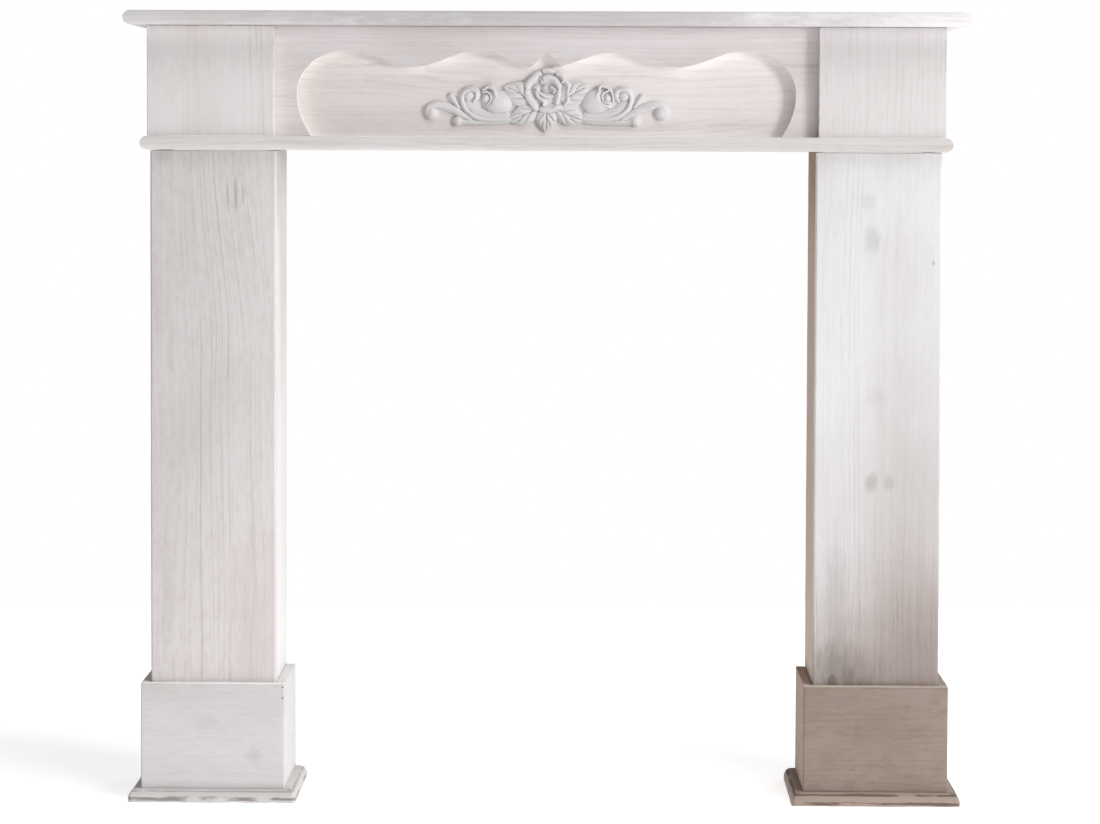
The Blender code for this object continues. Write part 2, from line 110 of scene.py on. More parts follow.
# Rose ornament: template units are millimetres, reliefs are metres out of the panel
UNIT = 0.001
ROSE_CENTRE = 58.0
ROSE_RADIUS = 28.5
ROSE_RELIEF = 0.0120
LEAF_RELIEF = 0.0065
BUD_RELIEF = 0.0085
SCROLL_RELIEF = 0.0060
ORNAMENT_SINK = 0.0040
CASTING_VOXEL = 0.00057
HOLLOW_DEPTH = 0.0019

ALONG_X, ALONG_Y, ALONG_Z = 0, 1, 2


def linear(red, green, blue):
    """A linear colour from one written as 0 to 255 on screen."""
    shares = (red / 255, green / 255, blue / 255)
    return tuple(c / 12.92 if c <= 0.04045 else ((c + 0.055) / 1.055) ** 2.4 for c in shares)


# Node sheets


class Wire:
    """One output of a node, which takes part in sums."""

    def __init__(self, sheet, socket):
        self.sheet = sheet
        self.socket = socket

    def maths(self, operation, *terms, clamp=False):
        settings = {"operation": operation, "use_clamp": clamp}
        return self.sheet.node("ShaderNodeMath", settings, dict(enumerate(terms)))

    def __add__(self, other):
        return self.maths("ADD", self, other)

    __radd__ = __add__

    def __sub__(self, other):
        return self.maths("SUBTRACT", self, other)

    def __rsub__(self, other):
        return self.maths("SUBTRACT", other, self)

    def __mul__(self, other):
        return self.maths("MULTIPLY", self, other)

    __rmul__ = __mul__

    def __truediv__(self, other):
        return self.maths("DIVIDE", self, other)

    def __rtruediv__(self, other):
        return self.maths("DIVIDE", other, self)

    def __pow__(self, other):
        return self.maths("POWER", self, other)

    def __abs__(self):
        return self.maths("ABSOLUTE", self)

    def least(self, other):
        return self.maths("MINIMUM", self, other)

    def most(self, other):
        return self.maths("MAXIMUM", self, other)

    def within(self):
        """Held between 0 and 1."""
        return self.maths("ADD", self, 0.0, clamp=True)

    def step(self, low, high):
        """0 at low, 1 at high, and smooth between them; low may be the larger."""
        sockets = {"Value": self, "From Min": low, "From Max": high, "To Min": 0.0, "To Max": 1.0}
        return self.sheet.node("ShaderNodeMapRange", {"interpolation_type": "SMOOTHSTEP"}, sockets)


class Sheet:
    """A node tree that is written line by line."""

    def __init__(self, tree):
        self.tree = tree

    def node(self, kind, settings=None, sockets=None, output=0):
        """A node of this kind: its settings first, then the values or wires of its sockets."""
        made = self.tree.nodes.new(kind)
        for name, value in (settings or {}).items():
            setattr(made, name, value)
        for key, value in (sockets or {}).items():
            if isinstance(value, Wire):
                self.tree.links.new(value.socket, made.inputs[key])
            else:
                made.inputs[key].default_value = value
        return Wire(self, made.outputs[output])

    def last(self, kind, wire):
        """The node that ends the tree, fed with this wire."""
        made = self.tree.nodes.new(kind)
        self.tree.links.new(wire.socket, made.inputs[0])

    def split(self, vector):
        """The three numbers of a vector."""
        first = self.node("ShaderNodeSeparateXYZ", None, {"Vector": vector})
        return [Wire(self, output) for output in first.socket.node.outputs]

    def joined(self, x, y, z):
        return self.node("ShaderNodeCombineXYZ", None, {"X": x, "Y": y, "Z": z})

    def blend(self, share, under, over, mode="MIX"):
        """Two colours mixed, where share 1 shows the second."""
        settings = {"data_type": "RGBA", "blend_type": mode, "clamp_factor": True}
        return self.node("ShaderNodeMix", settings, {0: share, 6: under, 7: over}, 2)


class Finish(Sheet):
    """A material. Patterns are read from the object's own coordinates."""

    def __init__(self, name, roughness=0.6, specular=0.3):
        self.material = bpy.data.materials.new(name)
        self.material.use_nodes = True
        super().__init__(self.material.node_tree)
        self.shader = self.tree.nodes["Principled BSDF"]
        self.shader.inputs["Roughness"].default_value = roughness
        self.shader.inputs["Specular IOR Level"].default_value = specular

    def place(self):
        return self.node("ShaderNodeTexCoord", None, None, "Object")

    def moved(self, vector, location=(0, 0, 0), scale=(1, 1, 1)):
        return self.node("ShaderNodeMapping", None, {"Vector": vector, "Location": location, "Scale": scale})

    def cloud(self, vector, scale=1.0, detail=2.0, roughness=0.5):
        sockets = {"Vector": vector, "Scale": scale, "Detail": detail, "Roughness": roughness}
        return self.node("ShaderNodeTexNoise", None, sockets)

    def shows(self, **wires):
        """Feeds the shader's sockets, with spaces in their names written as underscores."""
        for name, wire in wires.items():
            self.tree.links.new(wire.socket, self.shader.inputs[name.replace("_", " ")])

    def relief(self, height, distance, strength=1.0):
        sockets = {"Height": height, "Distance": distance, "Strength": strength}
        return self.node("ShaderNodeBump", None, sockets)


# Finishes

LIME = dict(
    paint=linear(226, 222, 217),
    ground=linear(150, 135, 122),
    edge=linear(110, 86, 68),
    low_tint=(1.0, 1.0, 1.0),
    high_tint=(1.0, 1.0, 1.0),
    rings=55.0,
    swirl=6.0,
    bend=0.006,
    growth=0.15,
    fibre=0.08,
    hair=0.10,
    pores=0.16,
    low_from=0.0,
    low_reach=1.0,
    side_tint=(1.0, 1.0, 1.0),
    side_below=9.0,
    low_grain=0.0,
    fan=0.0,
    mottling=0.06,
    crest=0.0,
    crest_highlight_paint=linear(244, 242, 241),
    bands=(),
    patches=0.10,
    edge_width=0.0013,
    edge_wear=0.45,
    streaks=(),
    smudges=(),
)


# Clouds in the wood: scale across and along the board, offset, detail and roughness
CLOUDS = dict(
    sway=(9.0, 2.4, 3.0, 1.5, 0.5),
    growth=(7.0, 1.5, 11.0, 2.0, 0.5),
    growth_gaps=(30.0, 1.2, 17.0, 2.0, 0.5),
    fibre=(300.0, 2.2, 23.0, 4.0, 0.65),
    hair=(95.0, 1.3, 53.0, 3.0, 0.55),
    hair_gaps=(320.0, 30.0, 59.0, 3.0, 0.7),
    fine=(1300.0, 14.0, 29.0, 2.0, 0.5),
    pores=(900.0, 50.0, 31.0, 2.0, 0.6),
    pore_areas=(22.0, 7.0, 37.0, 2.0, 0.5),
    streak_gaps=(160.0, 10.0, 41.0, 2.0, 0.5),
    patches=(9.0, 4.5, 43.0, 3.0, 0.5),
    specks=(190.0, 62.0, 71.0, 5.0, 0.62),
    mottle=(110.0, 36.0, 61.0, 5.0, 0.6),
    rub=(60.0, 12.0, 47.0, 3.0, 0.5),
)
SMUDGE_GREY = linear(120, 111, 104)
DULLED = (0.86, 0.83, 0.80)
FAN_REACH = 0.26


def limed_wood(name, low, high, along, seed, look, standing=False):
    """Limewashed wood on one board: growth lines, fibres and pores along its grain, worn edges, and on some
    boards painted light and shade.

    A standing board has its lower edges on another piece, where nothing wears them.
    """
    wash = dict(LIME, **look)
    middle = (low + high) / 2
    half = (high - low) / 2
    finish = Finish(name, roughness=0.62, specular=0.25)
    place = finish.place()
    centred = finish.moved(place, location=tuple(-middle))
    sides = finish.split(centred)
    length = sides[along]
    across_axis = ALONG_Z
    if along == ALONG_Z:
        across_axis = ALONG_X if half.x > half.y else ALONG_Y
    across = sides[across_axis]
    depth = sides[3 - along - across_axis]

    def cloud_of(title, vector):
        across_scale, along_scale, shift, detail, roughness = CLOUDS[title]
        scale = [across_scale] * 3
        scale[along] = along_scale
        offset = (seed * 1.7 + shift, seed * 0.9 - shift, seed * 2.3 + shift)
        return finish.cloud(finish.moved(vector, offset, tuple(scale)), 1.0, detail, roughness)

    bent = across + depth * 0.35 + (cloud_of("sway", centred) - 0.5) * (wash["bend"] * 4)
    if wash["fan"]:
        # Near the upper end the lines lean outwards, and more so on the right
        lean = (across / half[across_axis] * 0.5 + 0.5) * length.step(half[along], half[along] - FAN_REACH)
        bent = bent - lean * wash["fan"]
    turned = [None, None, None]
    turned[along] = length
    turned[across_axis] = bent
    turned[3 - along - across_axis] = depth
    grain = finish.joined(*turned)

    # Growth lines are the contours of a slow, stretched cloud
    contour = bent * wash["rings"] + cloud_of("growth", grain) * wash["swirl"] + seed
    saw = contour - contour.maths("FLOOR", contour)
    lines = (saw**6.0) * saw.step(1.0, 0.93)
    growth = lines * cloud_of("growth_gaps", grain).step(0.38, 0.62)

    fibres = cloud_of("fibre", grain)
    fibre = fibres.step(0.46, 0.80)
    hair = abs(cloud_of("hair", grain) - 0.5).step(0.055, 0.0) * cloud_of("hair_gaps", grain).step(0.34, 0.62)
    fine = cloud_of("fine", grain)
    pores = cloud_of("pores", grain).step(0.60, 0.70) * cloud_of("pore_areas", grain).step(0.52, 0.70)
    shown = growth * wash["growth"] + fibre * wash["fibre"] + pores * wash["pores"] + hair * wash["hair"]
    shown = shown + (fine - 0.5) * 0.14
    if wash["streaks"]:
        stripes = 0.0
        for position, width, strength in wash["streaks"]:
            stripes = stripes + abs(bent - position).step(width, width * 0.2) * strength
        shown = shown + stripes * cloud_of("streak_gaps", grain).step(0.30, 0.55)

    # Patches where more or less of the limewash is left, and a tint from one end of the board to the other:
    # on some boards a thinner, browner wash, on others painted light and shade, as their looks say
    patch = cloud_of("patches", centred)
    lift = (length / half[along] + 1) * 0.5
    drift = finish.cloud(centred, scale=5.0, detail=2.0)
    rise = (lift + (drift - 0.5) * 0.35).step(wash["low_from"], wash["low_reach"])
    shown = (shown + shown * (1 - rise) * wash["low_grain"]).within()
    tint = finish.blend(rise, (*wash["low_tint"], 1), (*wash["high_tint"], 1))
    # Lighter or darker towards one side, below a given height: on the right leg partly painted shade
    if wash["side_tint"] != (1.0, 1.0, 1.0):
        sideways = (across / half[across_axis] + (drift - 0.5) * 1.2).step(-0.9, 0.9)
        sideways = sideways * lift.step(wash["side_below"], wash["side_below"] - 0.4)
        shade = finish.blend(sideways, (1.0, 1.0, 1.0, 1), (*wash["side_tint"], 1))
        tint = finish.blend(1.0, tint, shade, "MULTIPLY")
    painted = finish.blend(1.0, (*wash["paint"], 1), tint, "MULTIPLY")
    duller = finish.blend(1.0, painted, (*DULLED, 1), "MULTIPLY")
    painted = finish.blend(patch.step(0.45, 0.75) * (wash["patches"] * 6), painted, duller)
    specks = cloud_of("specks", grain).step(0.44, 0.66)
    painted = finish.blend(specks * (wash["mottling"] * 3), painted, duller)
    colour = finish.blend(shown, painted, (*wash["ground"], 1))

    # Soft grey marks
    if wash["smudges"]:
        mottle = cloud_of("mottle", grain)
        marks = 0.0
        for x, z, wide, tall, strength in wash["smudges"]:
            squeeze = {0: place, 1: (1 / wide, 0.0, 1 / tall)}
            scaled = finish.node("ShaderNodeVectorMath", {"operation": "MULTIPLY"}, squeeze)
            ends = {0: scaled, 1: (x / wide, 0.0, z / tall)}
            gap = finish.node("ShaderNodeVectorMath", {"operation": "DISTANCE"}, ends, "Value")
            ragged = gap + (mottle - 0.5) * 1.3 + (drift - 0.5) * 0.6
            marks = marks + ragged.step(1.25, 0.35) * strength
        colour = finish.blend(marks, colour, (*SMUDGE_GREY, 1))

    # The middle one of the distances to the three pairs of faces is the distance to the nearest edge
    gaps = [half[axis] - abs(sides[axis]) for axis in range(3)]
    if standing:
        gaps[ALONG_Z] = half.z - sides[ALONG_Z]
    nearer = gaps[0].least(gaps[1])
    farther = gaps[0].most(gaps[1])
    to_edge = nearer.most(farther.least(gaps[2]))
    rub = finish.cloud(centred, scale=85.0, detail=4.0, roughness=0.6)
    rub_long = cloud_of("rub", centred)
    width = wash["edge_width"]
    ragged = to_edge + (rub - 0.5) * (width * 1.6) + (rub_long - 0.5) * (width * 2.4)
    worn = ragged.step(width, width * 0.25) * wash["edge_wear"]
    worn = (worn * rub_long.step(0.35, 0.60)).within()
    colour = finish.blend(worn, colour, (*wash["edge"], 1))

    # Painted highlight: the top face and top edge of a plinth are painted lighter, as where light from above
    # falls on them
    if wash["crest"]:
        from_top = half.z - sides[ALONG_Z] + (rub_long - 0.5) * 0.0012
        crest = from_top.step(0.0014, 0.0006) * wash["crest"]
        colour = finish.blend(crest, colour, (*wash["crest_highlight_paint"], 1))

    # Bands where the paint is rubbed through along a rounded edge
    height_now = finish.split(place)[2]
    for number, (level, spread, strength) in enumerate(wash["bands"]):
        drawn_out = finish.moved(place, (seed, number * 7.0, 0), (26.0, 26.0, 420.0))
        streaky = finish.cloud(drawn_out, detail=5.0, roughness=0.7)
        broken_up = finish.cloud(finish.moved(place, (number * 3.0, seed, 0), (19.0, 19.0, 60.0)), detail=3.0)
        wobble = height_now - level + (streaky - 0.5) * (spread * 3.0)
        rubbed = abs(wobble).step(spread, spread * 0.45) * broken_up.step(0.36, 0.48) * strength
        colour = finish.blend(rubbed.within(), colour, (*wash["edge"], 1))

    rough = 0.60 + (fibres - 0.5) * 0.25 + worn * 0.12
    height = 1 - shown * 0.7 - (fine - 0.5) * 0.3 - worn * 0.3
    finish.shows(Base_Color=colour, Roughness=rough.within(), Normal=finish.relief(height, 0.0004, 0.6))
    return finish.material


def cast_white():
    """Matt off-white paint on a casting, with painted shade in its hollows and a painted highlight on its
    crests.
    """
    finish = Finish("cast_white", roughness=0.6, specular=0.3)
    place = finish.place()
    hollow = finish.node("ShaderNodeAttribute", {"attribute_name": "hollow"}, None, "Fac")
    cloud = finish.cloud(place, scale=55.0, detail=4.0)
    speck = finish.cloud(place, scale=900.0, detail=3.0, roughness=0.65)
    # Painted shade: hollows are greyed towards a dark grey. Painted highlight: crests are lightened.
    deep = (hollow.step(0.52, 0.70) * 0.75 + (cloud - 0.5) * 0.12).within()
    raised = hollow.step(0.47, 0.30)
    colour = finish.blend(deep, (*linear(235, 233, 234), 1), (*linear(132, 122, 117), 1))
    colour = finish.blend(raised * 0.5, colour, (*linear(246, 246, 247), 1))
    colour = finish.blend(speck.step(0.60, 0.72) * 0.18, colour, (*linear(150, 143, 138), 1))
    colour = finish.blend(cloud.step(0.5, 0.8) * 0.25, colour, (*linear(204, 200, 198), 1))
    rough = 0.55 + (cloud - 0.5) * 0.2 + deep * 0.15
    height = speck * 0.5 + cloud * 0.5
    finish.shows(Base_Color=colour, Roughness=rough, Normal=finish.relief(height, 0.00025, 0.5))
    return finish.material


def pin_metal():
    """Small steel pin heads under thin paint."""
    finish = Finish("painted_pins", roughness=0.5, specular=0.4)
    place = finish.place()
    cloud = finish.cloud(place, scale=700.0, detail=3.0)
    colour = finish.blend(cloud.step(0.35, 0.65), (*linear(150, 138, 128), 1), (*linear(92, 78, 68), 1))
    finish.shows(Base_Color=colour, Roughness=0.45 + cloud * 0.3, Normal=finish.relief(cloud, 0.0002, 0.5))
    return finish.material


def stage_white():
    """Plain paper that glows a little, so that it stays as white as in the photograph."""
    finish = Finish("studio_paper", roughness=0.9, specular=0.1)
    place = finish.place()
    cloud = finish.cloud(place, scale=2.0, detail=2.0)
    colour = finish.blend(cloud, (0.90, 0.90, 0.90, 1), (0.93, 0.93, 0.93, 1))
    finish.shows(Base_Color=colour)
    finish.shader.inputs["Emission Color"].default_value = (1.0, 1.0, 1.0, 1.0)
    finish.shader.inputs["Emission Strength"].default_value = 0.62
    return finish.material


# Shared mesh work


def object_from(bm, name):
    """An object at the origin with this mesh."""
    mesh = bpy.data.meshes.new(name)
    bm.to_mesh(mesh)
    bm.free()
    obj = bpy.data.objects.new(name, mesh)
    bpy.context.scene.collection.objects.link(obj)
    return obj


def settle(obj):
    """Applies the object's modifiers to its mesh."""
    bpy.context.view_layer.update()
    seen = obj.evaluated_get(bpy.context.evaluated_depsgraph_get())
    shape = bpy.data.meshes.new_from_object(seen)
    obj.modifiers.clear()
    obj.data = shape
    return obj


def stand_for(piece, *nodes, slot):
    """The finished piece takes the place of these nodes."""
    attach(piece, "root")
    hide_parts(*nodes)


def slice_up(bm, axis, start, end, spacing):
    """Cuts the mesh into strips, so that its edges can wear unevenly."""
    count = max(1, round((end - start) / spacing))
    normal = [0.0, 0.0, 0.0]
    normal[axis] = 1.0
    for step in range(1, count):
        place = [0.0, 0.0, 0.0]
        place[axis] = start + (end - start) * step / count
        geometry = [*bm.verts, *bm.edges, *bm.faces]
        bmesh.ops.bisect_plane(bm, geom=geometry, plane_co=place, plane_no=normal, dist=1e-6)


def wear_edges(bm, low, high, reach, wear, seed):
    """Rubs the edges back unevenly, never outwards."""
    for vert in bm.verts:
        gaps = sorted((min(vert.co[axis] - low[axis], high[axis] - vert.co[axis]), axis) for axis in range(3))
        if gaps[1][0] > reach:
            continue
        rough = noise.noise(vert.co * 24 + Vector((seed, 0, 0)))
        rough += 0.5 * noise.noise(vert.co * 95 + Vector((0, seed, 0)))
        chip = max(0.0, noise.noise(vert.co * 60 + Vector((0, 0, seed))) - 0.42) * 3.0
        amount = wear * (max(0.0, 0.35 + rough * 0.6) + chip)
        fade = 1 - gaps[1][0] / reach * 0.6
        for gap, axis in gaps[:2]:
            middle = (low[axis] + high[axis]) / 2
            vert.co[axis] += amount * fade * (1 if vert.co[axis] < middle else -1)


def in_order(bm):
    """Cutting leaves corners and faces in a chance order, so they get one that is the same in every run."""
    for parts in (bm.verts, bm.edges, bm.faces):
        parts.index_update()
        spots = []
        for part in parts:
            corners = [part] if isinstance(part, bmesh.types.BMVert) else part.verts
            spots.append((sorted(tuple(vert.co) for vert in corners), part.index))
        ranks = {index: rank for rank, (_, index) in enumerate(sorted(spots))}
        parts.sort(key=lambda part: ranks[part.index])
    return bm


def soften(obj):
    """Smooth rounded edges beside flat faces."""
    for face in obj.data.polygons:
        face.use_smooth = True
    obj.data.set_sharp_from_angle(angle=SHARP)
    weighted = obj.modifiers.new("weighted", "WEIGHTED_NORMAL")
    weighted.mode = "FACE_AREA"
    weighted.keep_sharp = True
    return settle(obj)


def box_mesh(low, high):
    bm = bmesh.new()
    bmesh.ops.create_cube(bm, size=1.0)
    size = high - low
    middle = (high + low) / 2
    for vert in bm.verts:
        vert.co = Vector((vert.co.x * size.x, vert.co.y * size.y, vert.co.z * size.z)) + middle
    return bm


def round_off(bm, edges, radius, steps):
    shape = dict(offset_type="OFFSET", profile=0.5, affect="EDGES")
    bmesh.ops.bevel(bm, geom=edges, offset=radius, segments=steps, **shape)


def sharp_edges(bm):
    shared = [edge for edge in bm.edges if len(edge.link_faces) == 2]
    return [edge for edge in shared if edge.calc_face_angle() > SQUARE_CORNER]


def dressed_board(node, along, edges, seed, look):
    """A board as its node has it, with its front edges eased and rubbed by hand."""
    ease, wear = edges
    low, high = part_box(node)
    bm = box_mesh(low, high)
    middle = (low + high) / 2
    size = high - low

    def upper(edge):
        return any(vert.co.z > middle.z for vert in edge.verts)

    front = [e for e in bm.edges if upper(e) and all(vert.co.y < middle.y for vert in e.verts)]
    round_off(bm, front, min(ease, size.x / 3, size.z / 3), 5)
    round_off(bm, [edge for edge in sharp_edges(bm) if upper(edge)], BACK_EDGE, 2)
    slice_up(bm, along, low[along], high[along], SLICE)
    second = ALONG_X if along != ALONG_X else ALONG_Z
    if size[second] > 0.05:
        slice_up(bm, second, low[second], high[second], SLICE * 2)
    wear_edges(bm, low - Vector((0, 0, 1)), high, ease * 1.5 + 0.0004, wear, seed)
    piece = soften(object_from(in_order(bm), "dressed_" + node))
    piece.data.materials.append(limed_wood(node + "_limewash", low, high, along, seed, look, standing=True))
    stand_for(piece, node, slot="whitewashed_wood")


def foot_board(node, seed, look):
    """A base board with round corners in plan and its top rounded over, all but at the back."""
    low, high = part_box(node)
    bm = box_mesh(low, high)
    front = [e for e in bm.edges if all(vert.co.y < 0 for vert in e.verts)]
    corners = [e for e in front if abs(e.verts[0].co.z - e.verts[1].co.z) > 0.001]
    round_off(bm, corners, FOOT_CORNER, 5)
    top = [e for e in bm.edges if all(vert.co.z > high.z - 1e-5 for vert in e.verts)]
    top = [e for e in top if not all(vert.co.y > high.y - 0.001 for vert in e.verts)]
    round_off(bm, top, FOOT_ROUND, 7)
    slice_up(bm, ALONG_X, low.x, high.x, SLICE)
    slice_up(bm, ALONG_Y, low.y, high.y, SLICE * 1.5)
    wear_edges(bm, low, high, FOOT_REACH, FOOT_WEAR, seed)
    piece = soften(object_from(in_order(bm), "dressed_" + node))
    piece.data.materials.append(limed_wood(node + "_limewash", low, high, ALONG_X, seed, look))
    stand_for(piece, node, slot="whitewashed_wood")


# Geometry nodes


class Recipe(Sheet):
    """A Geometry Nodes tree with named inputs."""

    def __init__(self, name, inputs):
        super().__init__(bpy.data.node_groups.new(name, "GeometryNodeTree"))
        face = self.tree.interface
        face.new_socket("Geometry", in_out="INPUT", socket_type="NodeSocketGeometry")
        for title, kind in inputs.items():
            face.new_socket(title, in_out="INPUT", socket_type="NodeSocket" + kind)
        face.new_socket("Geometry", in_out="OUTPUT", socket_type="NodeSocketGeometry")
        self.entry = self.tree.nodes.new("NodeGroupInput")

    def given(self, title):
        return Wire(self, self.entry.outputs[title])

    def ends_with(self, geometry):
        """Real mesh in the given material is what comes out."""
        real = self.node("GeometryNodeRealizeInstances", None, {"Geometry": geometry})
        sockets = {"Geometry": real, "Material": self.given("Material")}
        self.last("NodeGroupOutput", self.node("GeometryNodeSetMaterial", None, sockets))

    def applied_to(self, obj, values):
        """Runs the recipe on an object and leaves its plain mesh."""
        work = obj.modifiers.new("recipe", "NODES")
        work.node_group = self.tree
        for item in self.tree.interface.items_tree:
            if item.item_type == "SOCKET" and item.in_out == "INPUT" and item.name in values:
                work[item.identifier] = values[item.name]
        return settle(obj)


def bullnose_recipe():
    """A subdivided block is bent by rule into a board with a half-round front and two half-round ends."""
    sizes = ("Half Length", "Front", "Back", "Bottom", "Thickness", "Wear")
    counts = (*BULLNOSE_ROWS, "Seed")
    inputs = dict.fromkeys(sizes, "Float") | dict.fromkeys(counts, "Int") | {"Material": "Material"}
    recipe = Recipe("bullnose_board", inputs)
    rows = {"Vertices " + axis: recipe.given(title) for axis, title in zip("XYZ", BULLNOSE_ROWS)}
    block = recipe.node("GeometryNodeMeshCube", None, {"Size": (2.0, 2.0, 2.0), **rows})
    x, y, z = recipe.split(recipe.node("GeometryNodeInputPosition"))
    radius = recipe.given("Thickness") * 0.5
    turn = z * (pi / 2)
    inset = radius * (1 - turn.maths("COSINE", turn))
    front = recipe.given("Front") + inset
    bent_x = x * (recipe.given("Half Length") - inset)
    bent_y = front + (y + 1) * 0.5 * (recipe.given("Back") - front)
    bent_z = recipe.given("Bottom") + radius + radius * turn.maths("SINE", turn)
    bent = recipe.joined(bent_x, bent_y, bent_z)
    board = recipe.node("GeometryNodeSetPosition", None, {"Geometry": block, "Position": bent})
    place = recipe.node("GeometryNodeInputPosition")
    pattern = {"Vector": place, "W": recipe.given("Seed") * 1.0, "Scale": 22.0, "Detail": 3.0}
    rough = recipe.node("ShaderNodeTexNoise", {"noise_dimensions": "4D"}, pattern)
    inward = recipe.node("GeometryNodeInputNormal")
    nose = (1 - abs(z).step(0.9, 1.0)) * (1 - y.step(0.8, 0.98))
    depth = rough.step(0.35, 0.75) * nose * recipe.given("Wear") * -1.0
    rub = recipe.node("ShaderNodeVectorMath", {"operation": "SCALE"}, {"Vector": inward, "Scale": depth})
    worn = recipe.node("GeometryNodeSetPosition", None, {"Geometry": board, "Offset": rub})
    smooth = recipe.node("GeometryNodeSetShadeSmooth", None, {"Geometry": worn})
    recipe.ends_with(smooth)
    return recipe


def pin_recipe():
    """A small round head on every point, turned to face the way the point says."""
    sizes = {"Head Radius": "Float", "Head Rise": "Float", "Head Sides": "Int", "Seed": "Int"}
    recipe = Recipe("pin_heads", sizes | {"Material": "Material"})
    radius = recipe.given("Head Radius")
    ball = {"Segments": recipe.given("Head Sides"), "Rings": 6, "Radius": radius}
    head = recipe.node("GeometryNodeMeshUVSphere", None, ball)
    flatter = recipe.joined(1.0, 1.0, recipe.given("Head Rise") / radius)
    flat = recipe.node("GeometryNodeTransform", None, {"Geometry": head, "Scale": flatter})
    facing = recipe.node("GeometryNodeInputNamedAttribute", {"data_type": "FLOAT_VECTOR"}, {"Name": "facing"})
    turn = recipe.node("FunctionNodeAlignRotationToVector", {"axis": "Z"}, {"Vector": facing})
    spread = {2: 0.85, 3: 1.15, "Seed": recipe.given("Seed")}
    size = recipe.node("FunctionNodeRandomValue", {"data_type": "FLOAT"}, spread, 1)
    placed = {"Points": recipe.given("Geometry"), "Instance": flat, "Rotation": turn, "Scale": size}
    recipe.ends_with(recipe.node("GeometryNodeInstanceOnPoints", None, placed))
    return recipe


def bullnose_board(recipe, node, wear, seed, look):
    """A board that the bullnose recipe bends to its node's size."""
    low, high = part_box(node)
    values = {
        "Half Length": (high.x - low.x) / 2,
        "Front": low.y,
        "Back": high.y,
        "Bottom": low.z,
        "Thickness": high.z - low.z,
        "Wear": wear,
        "Seed": seed,
        "Material": limed_wood(node + "_limewash", low, high, ALONG_X, seed, look),
    }
    piece = recipe.applied_to(object_from(bmesh.new(), "dressed_" + node), values | BULLNOSE_ROWS)
    piece.data.set_sharp_from_angle(angle=SHARP)
    stand_for(piece, node, slot="whitewashed_wood")


# Frieze


def wave(start, end, reach=1.0):
    """Points of a cosine swing from one turning point towards another, cut short where reach is under 1."""
    full = 1 - cos(pi * reach)
    for step in range(1, CUT_STEPS + 1):
        share = step / CUT_STEPS
        swing = (1 - cos(pi * reach * share)) / full
        yield start[0] + (end[0] - start[0]) * share, start[1] + (end[1] - start[1]) * swing


def cut_out_half():
    """The cut-out's right half, from its foot to the point beside the notch."""
    foot = CUT_HALF * CUT_FOOT_SHARE
    outer_crest = (CUT_HALF * CUT_OUTER_CREST_SHARE, CUT_OUTER_CREST_HEIGHT)
    valley = (CUT_HALF * CUT_VALLEY_SHARE, CUT_VALLEY_HEIGHT)
    inner_crest = (CUT_HALF * CUT_INNER_CREST_SHARE, CUT_INNER_CREST_HEIGHT)
    cusp = (CUT_NOTCH_RISE, CUT_CUSP_HEIGHT)
    points = []
    for step in range(CUT_STEPS):
        share = 1 - step / CUT_STEPS
        points.append((CUT_HALF - (CUT_HALF - foot) * share**2, CUT_WIDEST_HEIGHT * (1 - share)))
    for step in range(CUT_STEPS + 1):
        turn = pi / 2 * step / CUT_STEPS
        out = outer_crest[0] + (CUT_HALF - outer_crest[0]) * cos(turn)
        points.append((out, CUT_WIDEST_HEIGHT + (outer_crest[1] - CUT_WIDEST_HEIGHT) * sin(turn)))
    points += wave(outer_crest, valley)
    points += wave(valley, inner_crest)
    points += wave(inner_crest, cusp, reach=0.8)
    return points


def frieze_fascia(look):
    """The front board of the frieze, sawn to its wavy outline and lightly sanded."""
    low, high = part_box("frieze_fascia")
    right = cut_out_half()
    outline = [(high.x, high.z - low.z), (low.x, high.z - low.z), (low.x, 0.0)]
    outline += [(-x, z) for x, z in right]
    outline.append((0.0, right[-1][1] + CUT_NOTCH_RISE))
    outline += list(reversed(right))
    outline.append((high.x, 0.0))
    bm = bmesh.new()
    verts = [bm.verts.new((x, low.y, low.z + z)) for x, z in outline]
    face = bm.faces.new(verts)
    pushed = bmesh.ops.extrude_face_region(bm, geom=[face])
    moved = [item for item in pushed["geom"] if isinstance(item, bmesh.types.BMVert)]
    bmesh.ops.translate(bm, vec=(0, high.y - low.y, 0), verts=moved)
    bmesh.ops.recalc_face_normals(bm, faces=bm.faces)
    front = [e for e in bm.edges if all(vert.co.y < low.y + 1e-6 for vert in e.verts)]
    round_off(bm, front, CUT_EDGE, 2)
    # The sawn faces of the cut-out take the second finish, a near-white painted highlight
    for face in bm.faces:
        middle = face.calc_center_median()
        sawn = abs(face.normal.y) < 0.5 and abs(middle.x) < CUT_HALF + 0.001 and middle.z < high.z - 0.001
        face.material_index = int(sawn)
    piece = soften(object_from(bm, "dressed_frieze_fascia"))
    piece.data.materials.append(limed_wood("frieze_fascia_limewash", low, high, ALONG_X, 5, look))
    piece.data.materials.append(limed_wood("frieze_sawn_edge_limewash", low, high, ALONG_X, 6, CUT_FACE_HIGHLIGHT_LOOK))
    stand_for(piece, "frieze_fascia", slot="whitewashed_wood")


# Rose ornament


def loft(rings):
    """A closed solid through closed rings that all have the same number of points."""
    bm = bmesh.new()
    rows = [[bm.verts.new(point) for point in ring] for ring in rings]
    count = len(rings[0])
    for near, far in zip(rows, rows[1:]):
        for i in range(count):
            j = (i + 1) % count
            bm.faces.new((near[i], near[j], far[j], far[i]))
    bm.faces.new(rows[0][::-1])
    bm.faces.new(rows[-1])
    bmesh.ops.recalc_face_normals(bm, faces=bm.faces)
    return bm


